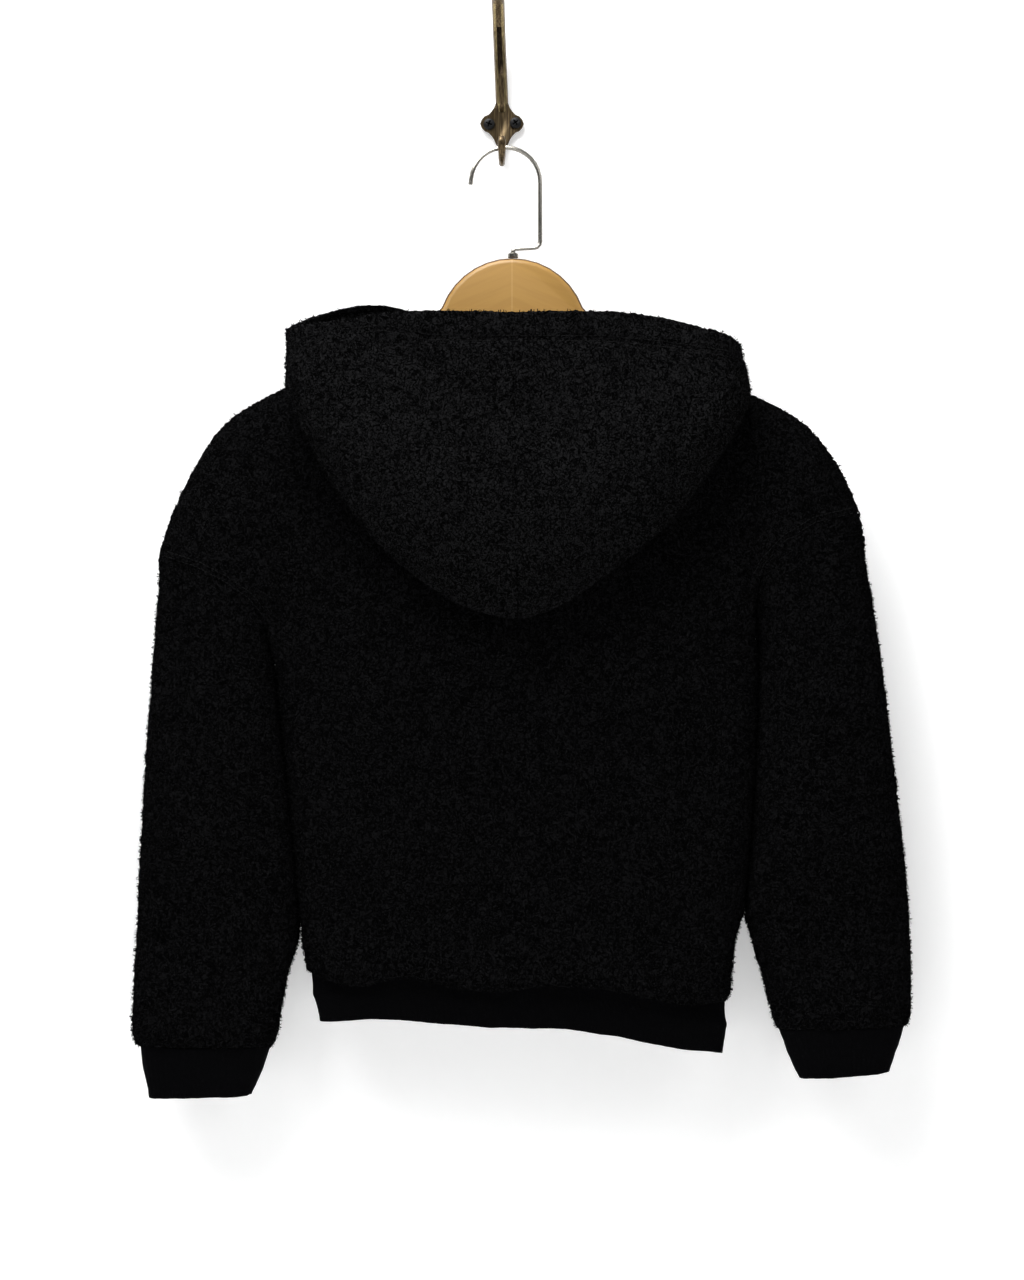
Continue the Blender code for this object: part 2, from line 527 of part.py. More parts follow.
def cuff(name, table, material):
    """A rib-knit tube that narrows to the wrist."""
    outers, inners = [], []
    for xo, zo, xi, zi, depth in table:
        ring = oval_ring((xo, zo), (xi, zi), depth, 33)
        middle = ring.mean(axis=0)
        around = np.roll(ring, -1, axis=0) - np.roll(ring, 1, axis=0)
        out = unit(np.cross(around, [0, 0, 1.0]))
        if np.sum(out * (ring - middle)) < 0:
            out = -out
        outer, inner = ribbed(ring, CUFF_RIBS, True, out)
        outers.append(outer)
        inners.append(inner)
    return wall_object(name, np.array(outers), np.array(inners), True, material)


def waistband(name, facing, material):
    """Half of the rib-knit waistband, from one side seam to the other."""
    outers, inners = [], []
    wave = np.array(HEM_WAVE, float)
    hem_depth = (BACK_DEPTH if facing < 0 else FRONT_DEPTH) * HEM_SHARE - POUCH_SECTION[-1][2]
    for i, (xl, zl, xr, zr, drawn) in enumerate(BAND_ROWS):
        depth = hem_depth - drawn
        line = half_section((xl, zl), (xr, zr), depth, 65, facing)
        if i:
            line[:, 2] += np.interp(line[:, 0], wave[:, 0], wave[:, 1]) * i / (len(BAND_ROWS) - 1)
        along = np.gradient(line, axis=0)
        out = unit(np.cross(along, [0, 0, 1.0]))
        if out[32, 1] * facing < 0:
            out = -out
        out[0], out[-1] = (-1, 0, 0), (1, 0, 0)
        outer, inner = ribbed(line, BAND_RIBS, False, out)
        for edge in (outer, inner):
            edge[[0, -1], 1] = CENTRE_Y + facing * SEAM_GAP / 2
        outers.append(outer)
        inners.append(inner)
    return wall_object(name, np.array(outers), np.array(inners), False, material)


def hood_half(name, table, side, material):
    """Half of the hood: from the rim down the outside, under at the fold, and up to the neck."""
    stations = table_rows(table, np.linspace(0, 1, HOOD_STATIONS))
    half = HOOD_STATIONS // 2
    back_neck = resample(smooth_line(neck_edge(NECK_BACK), neck_columns(BACK_COLUMNS)), 2 * half + 1, False)
    front_neck = resample(smooth_line(neck_edge(NECK_FRONT), neck_columns(FRONT_COLUMNS)), 2 * half + 1, False)
    if side < 0:
        necks = np.vstack([back_neck[half::-1], front_neck[1:half + 1]])
    else:
        necks = np.vstack([back_neck[half:], front_neck[-2:half - 1:-1]])
    neck_middle = np.array([NECK_BACK["x"], CENTRE_Y, 0])
    columns, hem_rooms = [], []
    for station, neck in zip(stations, necks):
        neck = neck + [0, 0, NECK_GAP]
        at = dict(zip(HOOD_COLUMNS, station))
        rim = np.array([at["rim_x"], at["rim_y"], at["rim_z"]])
        fold = np.array([at["fold_x"], at["fold_y"], at["fold_z"]])
        keys = [rim]
        for share, belly in HOOD_OUTSIDE:
            point = (1 - share) * rim + share * fold
            point[1] += belly * (at["belly"] - point[1])
            keys.append(point)
        keys.append(fold)
        lean = unit((neck - neck_middle) * [1, 1, 0]) * CREST_REACH * at["crest"] / table[0][-1]
        turn = neck + lean * 1.6 + [0, 0, table[0][-1] - 0.2 * at["crest"]]
        for share in HOOD_UNDERSIDE:
            point = (1 - share) * fold + share * turn
            point[1] = (1 - share ** 3) * at["under"] + share ** 3 * turn[1]
            point[2] += at["lift"] * math.sin(math.pi * share)
            keys.append(point)
        keys += [turn, neck + lean * 0.5 + [0, 0, at["crest"]], neck]
        first_span = np.linalg.norm(keys[1] - keys[0])
        room = min(1.0, first_span * 0.85 / HEM_LINES[-1])
        hem_rooms.append(room)
        columns.append(through(keys, np.concatenate([np.array(HEM_LINES) * room / first_span, HOOD_ROWS])))
    grid = np.array(columns).transpose(1, 0, 2)
    out = normals(grid, False)
    if out[2, 2, 1] > 0:
        out = -out
    for i in range(1, len(grid) - 4):
        for j in range(len(grid[0])):
            x, y, z = grid[i, j]
            if out[i, j, 1] < -0.5:
                grid[i, j] -= out[i, j] * fold_depth(x, z, HOOD_FOLDS) * min(1.0, i / 4.0)
    hem_rooms = np.array(hem_rooms)[:, None]
    grid[HEM_ROW] -= out[HEM_ROW] * HEM_GROOVE * hem_rooms ** 2
    out = normals(grid, False)
    if out[2, 2, 1] > 0:
        out = -out
    out[:, [0, -1], 0] = 0
    out = unit(out)
    wall = np.full((len(grid), len(grid[0]), 1), FLEECE)
    wall[:HEM_ROW] *= 1 + (HEM_THICKNESS - 1) * hem_rooms ** 2
    inner = grid - settled(out, 3) * wall
    shift = np.zeros_like(grid)
    shift[:, 0, 0] = side * SEAM_GAP / 2
    shift[:, -1, 0] = side * SEAM_GAP
    return wall_object(name, grid + shift, inner + shift, False, material)


def linked(name, data, material):
    piece = bpy.data.objects.new(name, data)
    data.materials.append(material)
    bpy.context.scene.collection.objects.link(piece)
    return piece


def guide(piece):
    piece.hide_render = True
    piece.display_type = "WIRE"
    return piece


def add_modifier(piece, name, kind, **settings):
    modifier = piece.modifiers.new(name, kind)
    for key, value in settings.items():
        setattr(modifier, key, value)
    return modifier


def round_off(piece, width, segments):
    add_modifier(piece, "round edges", "BEVEL", width=width * MM, segments=segments, limit_method="ANGLE",
                 angle_limit=math.radians(50))


def slab(name, outline, y_near, y_far, material):
    """A flat plate: an outline in x and z, given its thickness along y."""
    mesh = bmesh.new()
    face = mesh.faces.new([mesh.verts.new((x * MM, y_near * MM, z * MM)) for x, z in outline])
    grown = bmesh.ops.extrude_face_region(mesh, geom=[face])
    moved = [item for item in grown["geom"] if isinstance(item, bmesh.types.BMVert)]
    bmesh.ops.translate(mesh, verts=moved, vec=(0, (y_far - y_near) * MM, 0))
    bmesh.ops.recalc_face_normals(mesh, faces=mesh.faces)
    data = bpy.data.meshes.new(name)
    mesh.to_mesh(data)
    mesh.free()
    data.shade_smooth()
    data.set_sharp_from_angle(angle=math.radians(40))
    return linked(name, data, material)


def lathe(name, profile, centre, axis, sides, material):
    """A solid turned about an axis: profile is radius and distance along it, first to last."""
    mesh = bmesh.new()
    rings = []
    for radius, along in profile:
        ring = []
        for k in range(sides):
            turn = 2 * math.pi * k / sides
            a, b = radius * math.cos(turn), radius * math.sin(turn)
            offset = (a, along, b) if axis == "Y" else (a, b, along)
            ring.append(mesh.verts.new(tuple((c + o) * MM for c, o in zip(centre, offset))))
        rings.append(ring)
    for one, other in zip(rings, rings[1:]):
        for k in range(sides):
            mesh.faces.new([one[k], one[(k + 1) % sides], other[(k + 1) % sides], other[k]])
    mesh.faces.new(rings[0])
    mesh.faces.new(rings[-1])
    bmesh.ops.recalc_face_normals(mesh, faces=mesh.faces)
    data = bpy.data.meshes.new(name)
    mesh.to_mesh(data)
    mesh.free()
    data.shade_smooth()
    data.set_sharp_from_angle(angle=math.radians(40))
    return linked(name, data, material)


def hanger_body(material):
    """The wooden shoulder bar, cut from a board and rounded along its edges."""
    left = smooth_line(SHOULDER_LEFT[HANGER_TIPS[0]:], 12)
    right = smooth_line(SHOULDER_RIGHT[HANGER_TIPS[1]:], 12)[::-1]
    shoulders = []
    for line, sign in ((left, -1), (right, 1)):
        run = unit(np.gradient(line, axis=0))
        out = np.stack([-run[:, 1], run[:, 0]], axis=1)
        to_neck = np.linspace(0, 1, len(line))[::-sign, None]
        shoulders.append(line - out * np.sign(out[:, 1:]) * (HANGER_DROP + HANGER_NECK_DROP * to_neck ** 4))
    x_mid, z_mid = HANGER_TOP[0], HANGER_TOP[1] - HANGER_RISE
    arch = [(x_mid + HANGER_RISE * math.sin(math.radians(turn)), z_mid + HANGER_RISE * math.cos(math.radians(turn)))
            for turn in range(-70, 71, 10)]
    top = [tuple(p) for p in shoulders[0][:-1]] + arch + [tuple(p) for p in shoulders[1][1:]]
    first, last = top[0], top[-1]
    below = smooth_line([(last[0] + 1, last[1] - HANGER_TIP_HEIGHT)]
                        + [(x_mid + x, z) for x, z in HANGER_UNDER]
                        + [(first[0] - 1, first[1] - HANGER_TIP_HEIGHT)], 20)
    piece = slab("hanger_body", top + [tuple(p) for p in below], CENTRE_Y - HANGER_THICK / 2,
                 CENTRE_Y + HANGER_THICK / 2, material)
    round_off(piece, HANGER_THICK * 0.40, 2)
    return piece


def rounded_path(corners, radii, step):
    """A path through the corners with each inner one rounded to its radius."""
    corners = [np.array(corner, float) for corner in corners]
    path = [corners[0]]
    for before, corner, after, radius in zip(corners, corners[1:], corners[2:], radii):
        a, b = unit(before - corner), unit(after - corner)
        half = math.acos(max(-1.0, min(1.0, float(a @ b)))) / 2
        middle = corner + unit(a + b) * radius / math.sin(half)
        start, end = corner + a * radius / math.tan(half), corner + b * radius / math.tan(half)
        count = max(2, round(math.degrees(math.pi - 2 * half) / step))
        for k in range(count + 1):
            spoke = (start - middle) * (1 - k / count) + (end - middle) * (k / count)
            path.append(middle + unit(spoke) * radius)
    return path + [corners[-1]]


def hanger_hook(material):
    """The steel wire: out of the ferrule, up the side, and round over the wall hook."""
    path = rounded_path(WIRE_CORNERS, WIRE_BENDS, 30)
    x_arc, z_arc = HOOK_CENTRE
    path += [np.array((x_arc + HOOK_RADIUS * math.cos(math.radians(turn)),
                       z_arc + HOOK_RADIUS * math.sin(math.radians(turn)))) for turn in range(10, 176, 11)]
    path.append(np.array(HOOK_TIP))
    curve = bpy.data.curves.new("hanger_hook", "CURVE")
    curve.dimensions = "3D"
    spline = curve.splines.new("POLY")
    spline.points.add(len(path) - 1)
    for point, (x, z) in zip(spline.points, path):
        point.co = (x * MM, CENTRE_Y * MM, z * MM, 1.0)
    curve.bevel_depth = WIRE_RADIUS * MM
    curve.bevel_resolution = 2
    curve.use_fill_caps = True
    return linked("hanger_hook", curve, material)


def swept(name, sections, material):
    """A cast bar: each section gives y, z, heading in degrees, inside and outside reach, and widths."""
    mesh = bmesh.new()
    rings = []
    for x, y, z, heading, inside, outside, wide, narrow in sections:
        turn = math.radians(heading)
        across = np.array([0, -math.sin(turn), math.cos(turn)])
        ring = []
        for reach, half in ((inside, 0.45), (inside * 0.72, 0.9), (0.0, 1.0), (-outside * 0.5, None),
                            (-outside, None)):
            width = wide * half / 2 if half else narrow / 2 * (1.0 if reach == -outside else 1.7)
            ring.append((reach, width))
        loop = [(w, r) for r, w in ring] + [(-w, r) for r, w in reversed(ring)]
        middle = np.array([x, y, z])
        rings.append([mesh.verts.new(tuple((middle + across * r + [w, 0, 0]) * MM)) for w, r in loop])
    for one, other in zip(rings, rings[1:]):
        for k in range(len(one)):
            following = (k + 1) % len(one)
            mesh.faces.new([one[k], one[following], other[following], other[k]])
    mesh.faces.new(rings[0])
    mesh.faces.new(rings[-1])
    bmesh.ops.recalc_face_normals(mesh, faces=mesh.faces)
    data = bpy.data.meshes.new(name)
    mesh.to_mesh(data)
    mesh.free()
    data.shade_smooth()
    data.set_sharp_from_angle(angle=math.radians(50))
    return linked(name, data, material)


def wall_hook(material):
    """The casting: a diamond plate with an upper arm and a lower prong."""
    quarter = smooth_line(PLATE_OUTLINE, 9)
    right = [(x, z) for x, z in quarter]
    outline = (right + [(x, -z) for x, z in reversed(right[:-1])]
               + [(-x, -z) for x, z in right[1:]] + [(-x, z) for x, z in reversed(right[1:-1])])
    plate = slab("wall_hook", outline, 0.0, -PLATE_THICK, material)
    arm = guide(swept("arm_form", ARM, material))
    prong = guide(swept("prong_form", PRONG, material))
    for name, form in (("arm", arm), ("prong", prong)):
        add_modifier(plate, name, "BOOLEAN", operation="UNION", object=form, solver="EXACT")
    return plate


def screw(name, x, z, tilt, material):
    """A domed screw head with a cross recess, seated on the plate."""
    seat = -PLATE_THICK - 0.3
    profile = [(SCREW_RADIUS * 0.86, 0.0), (SCREW_RADIUS, -0.7), (SCREW_RADIUS * 0.93, -1.5),
               (SCREW_RADIUS * 0.66, -2.2), (SCREW_RADIUS * 0.3, -2.5)]
    head = lathe(name, profile, (x, seat, z), "Y", 16, material)
    for arm in (0, 1):
        box = bpy.data.meshes.new(name + "_slot")
        mesh = bmesh.new()
        bmesh.ops.create_cube(mesh, size=1.0)
        bmesh.ops.scale(mesh, verts=mesh.verts, vec=(SCREW_RADIUS * 1.15 * MM, 3.0 * MM, 1.15 * MM))
        mesh.to_mesh(box)
        mesh.free()
        cutter = guide(linked(f"{name}_slot_{arm}", box, material))
        cutter.location = (x * MM, (seat - 2.5) * MM, z * MM)
        cutter.rotation_euler = (0, math.radians(tilt + 90 * arm), 0)
        add_modifier(head, f"slot {arm}", "BOOLEAN", operation="DIFFERENCE", object=cutter, solver="EXACT")
    return head


def main():
    for old in list(bpy.data.objects):
        bpy.data.objects.remove(old)
    fleece = new_material("black_fleece", (0.012, 0.012, 0.013), 0.95)
    back = panel_grid(-1, BACK_COLUMNS, BACK_ROWS, NECK_BACK, BACK_FOLDS)
    front = panel_grid(1, FRONT_COLUMNS, FRONT_ROWS, NECK_FRONT, FRONT_FOLDS)
    left = sleeve_grid(ARMHOLE_LEFT, SLEEVE_LEFT, SLEEVE_FOLDS)
    right = sleeve_grid(ARMHOLE_RIGHT, SLEEVE_RIGHT, SLEEVE_FOLDS)
    left_seam = seam_directions(left, back, front, 0)
    right_seam = seam_directions(right, back, front, -1)
    panel("back_panel", back, -1, left_seam, right_seam, fleece)
    panel("front_panel", front, 1, left_seam, right_seam, fleece)
    sleeve("sleeve_left", left, left_seam, fleece)
    sleeve("sleeve_right", right, right_seam, fleece)
    rib = new_material("black_rib_knit", (0.010, 0.010, 0.011), 0.9)
    cuff("cuff_left", CUFF_LEFT, rib)
    cuff("cuff_right", CUFF_RIGHT, rib)
    waistband("waistband_back", -1, rib)
    waistband("waistband_front", 1, rib)
    hood_half("hood_left", HOOD_LEFT, -1, fleece)
    hood_half("hood_right", HOOD_RIGHT, 1, fleece)
    wood = new_material("varnished_beech", (0.55, 0.30, 0.10), 0.35)
    steel = new_material("chromed_steel", (0.62, 0.62, 0.62), 0.2, 1.0)
    brass = new_material("antique_brass", (0.14, 0.10, 0.06), 0.4, 1.0)
    black = new_material("blackened_steel", (0.03, 0.03, 0.03), 0.4, 1.0)
    hanger_body(wood)
    x_top, z_top = HANGER_TOP
    lathe("hanger_ferrule", [(FERRULE_RADIUS * 0.9, 0.3), (FERRULE_RADIUS, 0.9), (FERRULE_RADIUS, 3.6),
                             (FERRULE_RADIUS * 0.7, FERRULE_TALL)], (x_top + 0.6, CENTRE_Y, z_top), "Z", 20, steel)
    hanger_hook(steel)
    wall_hook(brass)
    for name, (x, z, tilt) in SCREW_PLACES.items():
        screw(name, x, z, tilt, black)


main()
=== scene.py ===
# %% [markdown]
# # A cropped sherpa-fleece hoodie on its hanger
# The solid model gives every panel, rib and hook its true size and place. This lesson dresses it:
# each cloth solid is copied, smoothed and covered in curly pile, and the wood, the wire and the
# cast hook get their finishes. We start by loading the solids.
# Blender's vector noise starts from the clock unless it is given a seed. One seed here makes each
# run give the same tufts.

# %% Load the solids
import math

import bmesh
import bpy
import numpy as np
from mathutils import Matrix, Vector, noise
from mathutils.bvhtree import BVHTree


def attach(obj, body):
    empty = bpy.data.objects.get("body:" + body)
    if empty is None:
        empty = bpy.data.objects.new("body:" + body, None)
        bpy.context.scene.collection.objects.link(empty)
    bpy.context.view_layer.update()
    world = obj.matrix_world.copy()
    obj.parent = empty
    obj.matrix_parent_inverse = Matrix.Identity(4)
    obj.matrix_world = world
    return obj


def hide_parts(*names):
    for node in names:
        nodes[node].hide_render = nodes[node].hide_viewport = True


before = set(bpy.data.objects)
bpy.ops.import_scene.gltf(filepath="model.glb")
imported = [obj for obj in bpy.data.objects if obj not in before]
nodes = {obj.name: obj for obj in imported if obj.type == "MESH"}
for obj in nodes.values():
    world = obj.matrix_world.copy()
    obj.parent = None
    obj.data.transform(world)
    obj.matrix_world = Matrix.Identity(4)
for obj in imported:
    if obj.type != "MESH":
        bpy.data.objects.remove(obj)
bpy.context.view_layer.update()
MM = 0.001
noise.seed_set(11)

# %% [markdown]
# Colours are read off as the hex values that a colour picker gives, and shaders want them
# linear. One function does that for every material in this file, and a second one adds a
# shader node with its settings and links, so that each material reads as a short recipe.

# %% Colours and shader nodes
def linear(hex_colour):
    """The linear RGBA of an sRGB hex colour."""
    parts = [int(hex_colour[k:k + 2], 16) / 255 for k in (1, 3, 5)]
    return tuple(p / 12.92 if p <= 0.04045 else ((p + 0.055) / 1.055) ** 2.4 for p in parts) + (1.0,)


def add_node(material, kind, links=(), **settings):
    """One shader node: its settings by name, then links as (input, node or output socket)."""
    node = material.node_tree.nodes.new(kind)
    for key, value in settings.items():
        if key in node.inputs:
            node.inputs[key].default_value = value
        else:
            setattr(node, key, value)
    for key, source in links:
        socket = source if isinstance(source, bpy.types.NodeSocket) else source.outputs[0]
        material.node_tree.links.new(socket, node.inputs[key])
    return node


def new_material(name, colour, roughness, metallic=0.0):
    material = bpy.data.materials.new(name)
    material.use_nodes = True
    shader = material.node_tree.nodes["Principled BSDF"]
    shader.inputs["Base Color"].default_value = linear(colour)
    shader.inputs["Roughness"].default_value = roughness
    shader.inputs["Metallic"].default_value = metallic
    return material, shader


def join_sockets(material, output, socket):
    material.node_tree.links.new(output, socket)


print("half grey in linear light:", [round(v, 3) for v in linear("#808080")])

# %% [markdown]
# Sherpa fleece is a polyester knit whose pile is brushed and tumbled until it curls into small
# tufts, about 5 mm across, with dark valleys between them. The tufts themselves are modelled
# further down. The shader adds what is too fine for a mesh: the winding valleys between two bends
# of a curl, and the twist of its fibres. Black pile swallows light, so it has no gloss at all. Its
# colour paints shade into the valleys and light onto the tops of the curls, which show a dark grey.
# The hood has the same pile as the body but shows lighter, so it gets a lighter copy of the
# material: painted light, for the stronger light that falls on the hood. The hood has the same pile
# as the body but reads lighter in the picture. That its nap is turned up towards the light is a
# likely reason.

# %% Black fleece
TUFT = 4.8 * MM         # one curled tuft
CURL = 4.6 * MM         # the space that one bend of a curl takes
FIBRE = 1.25 * MM       # the twist of fibres inside it


def pile_material(name, lit_top):
    """Curled black pile: thin winding valleys between soft domes, and fine fibres on the domes. Its colour
    paints shade into the valleys and light onto the domes.
    """
    pile, shader = new_material(name, "#0E0E0F", 0.92)
    shader.inputs["Specular IOR Level"].default_value = 0.0
    place = add_node(pile, "ShaderNodeTexCoord").outputs["Object"]
    bends = add_node(pile, "ShaderNodeTexNoise", [("Vector", place)], Scale=1 / CURL, Detail=1.0,
                     Distortion=1.1)
    past = add_node(pile, "ShaderNodeMath", [(0, bends)], operation="SUBTRACT")
    past.inputs[1].default_value = 0.5
    valley = add_node(pile, "ShaderNodeMath", [(0, past)], operation="ABSOLUTE")
    domes = add_node(pile, "ShaderNodeMapRange", [("Value", valley)], interpolation_type="SMOOTHSTEP",
                     **{"From Min": 0.0, "From Max": 0.085, "To Min": 0.0, "To Max": 0.78})
    fibres = add_node(pile, "ShaderNodeTexNoise", [("Vector", place)], Scale=1 / FIBRE, Detail=1.0)
    specks = add_node(pile, "ShaderNodeMapRange", [("Value", fibres)],
                      **{"From Min": 0.36, "From Max": 0.70, "To Min": 0.15, "To Max": 1.4})
    height = add_node(pile, "ShaderNodeMath", [(0, domes), (1, specks)], operation="MULTIPLY")
    # Painted shade and light: the colour runs from near black in the valleys to a lit grey on the tops.
    tone = add_node(pile, "ShaderNodeValToRGB", [("Fac", height)])
    tone.color_ramp.elements[0].position = 0.0
    tone.color_ramp.elements[0].color = linear("#020202")       # the shaded valley between two curls
    tone.color_ramp.elements[1].position = 0.95
    tone.color_ramp.elements[1].color = linear(lit_top)
    join_sockets(pile, tone.outputs["Color"], shader.inputs["Base Color"])
    bump = add_node(pile, "ShaderNodeBump", [("Height", domes)], Strength=1.0, Distance=1.2 * MM)
    join_sockets(pile, bump.outputs[0], shader.inputs["Normal"])
    return pile


fleece = pile_material("black_sherpa_polyester_pile", "#141415")
# The hood's copy has lighter curl tops: painted light, for the stronger light that falls on the hood.
hood_fleece_painted_lighter = pile_material("black_sherpa_pile_painted_light_for_hood", "#1D1D1E")
print("fleece tuft:", TUFT / MM, "mm, curl:", CURL / MM, "mm")

# %% [markdown]
# Rib knit is a plain cotton jersey whose columns of stitches stand up in ridges. The solid already
# carries the ridges, so the shader draws only the small knots of yarn, about 1.3 mm apart.

# %% Black rib knit
rib_knit, shader = new_material("black_cotton_rib_knit", "#050506", 0.95)
shader.inputs["Specular IOR Level"].default_value = 0.02
place = add_node(rib_knit, "ShaderNodeTexCoord").outputs["Object"]
YARN = 1.3 * MM
yarn = add_node(rib_knit, "ShaderNodeTexVoronoi", [("Vector", place)], Scale=1 / YARN)
bump = add_node(rib_knit, "ShaderNodeBump", [("Height", yarn.outputs["Distance"])], Strength=0.6,
                Distance=0.4 * MM, invert=True)
join_sockets(rib_knit, bump.outputs[0], shader.inputs["Normal"])
print("rib yarn:", YARN / MM, "mm")

# %% [markdown]
# Every cloth piece starts as a copy of its solid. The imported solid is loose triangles, so the copy
# is merged and its triangles are paired into quads again, which a subdivision surface rounds
# cleanly. Long cells are split first, so that the final mesh is nearly square: a square mesh takes
# a small-scale pattern evenly. The wall's two faces stay, so the cloth keeps its thickness.

# %% Copy a cloth solid and make its mesh finer
RIM_ANGLE = math.radians(52)    # an edge sharper than this is a rim of the wall
RIM_FACE = 170.0                # square millimetres: no face of a rim is larger
RIM_REACH = 0.45 * MM           # brings the two sides of a seam together
MERGE = 0.02 * MM               # corners closer than this are one
FLAT_PAIR = math.radians(70)    # two triangles within this angle make a quad


def only(piece):
    """Selects one object alone and makes it active."""
    bpy.ops.object.select_all(action="DESELECT")
    piece.hide_viewport = False
    piece.select_set(True)
    bpy.context.view_layer.objects.active = piece


def cloth_copy(node, name, material, rim_angle=RIM_ANGLE):
    piece = nodes[node].copy()
    piece.data = nodes[node].data.copy()
    piece.name = piece.data.name = name
    piece.parent = None
    for key in list(piece.keys()):
        del piece[key]
    bpy.context.scene.collection.objects.link(piece)
    piece.data.materials.clear()
    piece.data.materials.append(material)
    only(piece)
    bpy.ops.object.mode_set(mode="EDIT")
    bpy.ops.mesh.select_all(action="SELECT")
    bpy.ops.mesh.remove_doubles(threshold=MERGE)
    bpy.ops.mesh.tris_convert_to_quads(face_threshold=FLAT_PAIR, shape_threshold=FLAT_PAIR)
    bpy.ops.object.mode_set(mode="OBJECT")
    hold_rims(piece, rim_angle)
    return piece


def hold_rims(piece, rim_angle):
    """Creases the wall's rims, so that smoothing keeps them, and lets each rim meet its neighbour."""
    mesh = bmesh.new()
    mesh.from_mesh(piece.data)
    mesh.normal_update()
    crease = mesh.edges.layers.float.new("crease_edge")
    sharp = {edge for edge in mesh.edges if edge.calc_face_angle(0.0) > rim_angle}
    pushes = {}
    for face in mesh.faces:
        if sum(edge in sharp for edge in face.edges) >= 2 and face.calc_area() < RIM_FACE * MM * MM:
            for vert in face.verts:
                pushes[vert] = pushes.get(vert, Vector()) + face.normal
    for edge in sharp:
        edge[crease] = 1.0
    for vert, push in pushes.items():
        vert.co += push.normalized() * RIM_REACH
    mesh.to_mesh(piece.data)
    mesh.free()


def smooth_once(piece):
    """One level of subdivision surface, applied."""
    only(piece)
    modifier = piece.modifiers.new("round the cloth", "SUBSURF")
    modifier.levels = modifier.render_levels = 1
    bpy.ops.object.modifier_apply(modifier=modifier.name)


def split_long_edges(piece, longest, chosen=lambda face: True):
    """Cuts every edge of the chosen faces in two that is longer than the limit, until none is left."""
    mesh = bmesh.new()
    mesh.from_mesh(piece.data)
    for _ in range(6):
        mesh.normal_update()
        edges = {edge for face in mesh.faces if chosen(face) for edge in face.edges}
        edges = [edge for edge in edges if edge.calc_length() > longest]
        if not edges:
            break
        bmesh.ops.subdivide_edges(mesh, edges=edges, cuts=1, use_grid_fill=True)
    mesh.to_mesh(piece.data)
    mesh.free()


trial = cloth_copy("back_panel", "trial", fleece)
quads = sum(len(face.vertices) == 4 for face in trial.data.polygons)
print("back panel:", len(trial.data.polygons), "faces, of which", quads, "are quads")
bpy.data.objects.remove(trial)

# %% [markdown]
# The tufts of the pile are a cell pattern: each cell is a dome and its border a valley. The same
# pattern runs through all pieces, since it is read at each point's place in the room, so no seam
# shows a jump. A second, slower noise makes some patches curlier than others, as wear does.
# Soft creases come from short tables: two ends, a depth (below zero for a ridge) and a half width.

# %% Pile and creases
TUFT_RISE = 2.1 * MM    # from the valley to the top of a tuft
SWELL = 3.3 * MM        # how much fuller the pile stands between a sleeve and the body
SWELL_LEFT = (-0.484, -0.728)   # from this z to that one, in metres
SWELL_RIGHT = (-0.454, -0.704)
SWELL_FADES = (0.015, 0.02)     # over this height it grows at the top, and over that it ends below
WARP = 3.2 * MM         # the wander of a tuft's border
FINE = 1.7 * MM         # the small lumps on a tuft
PATCH = 23 * MM         # a patch where the pile is curlier or flatter
MEAN_TUFT = 0.55        # the pile's middle height stays on the solid's surface
# Longest edge of a cell in millimetres: after the first split, on what shows, and on what is hidden
COARSE, SHOWN, HIDDEN = 4.6, 2.5, 3.4


def tuft_height(point):
    """0 in the valley between two tufts and 1 on top of one."""
    warp = noise.noise_vector(point / WARP) * 0.28
    spread = noise.voronoi(point / TUFT + warp)[0]
    dome = min(1.0, (spread[1] - spread[0]) * 2.4)
    fine = noise.noise(point / FINE) * 0.16
    return dome ** 0.7 * (0.75 + 0.35 * noise.noise(point / PATCH)) + fine


def crease_depth(x, z, creases, seed):
    """How far the soft creases draw the cloth in at one place, uneven along their length."""
    total = 0.0
    for number, (x0, z0, x1, z1, depth, half_width) in enumerate(creases):
        run, drop = x1 - x0, z1 - z0
        share = ((x - x0) * run + (z - z0) * drop) / (run * run + drop * drop)
        inside = min(max(share, 0.0), 1.0)
        wander = 0.35 * half_width * noise.noise(Vector((seed, number, inside * 3.1)))
        off = math.hypot(x - x0 - inside * run + wander, z - z0 - inside * drop)
        fade = 0.55 + 0.45 * math.sin(math.pi * min(1.0, inside + 0.15))
        total += depth * fade * math.exp(-(off / half_width) ** 2)
    return total


def outer_core(point, core):
    """The nearest point of the hollow's core: x from and to, y, in metres."""
    return Vector((min(max(point.x, core[0]), core[1]), core[2], point.z))


def side_swell(point, normal, facing):
    """Pile stands fuller where a sleeve hangs against the body; facing is the side that touches."""
    first, last = SWELL_LEFT if point.x < 0 else SWELL_RIGHT
    grown = min(max((first - point.z) / SWELL_FADES[0], 0.0), 1.0)
    left = min(max((point.z - last) / SWELL_FADES[1], 0.0), 1.0)
    return SWELL * (grown * left) * max(0.0, abs(normal.x) if facing == 0 else facing * normal.x)


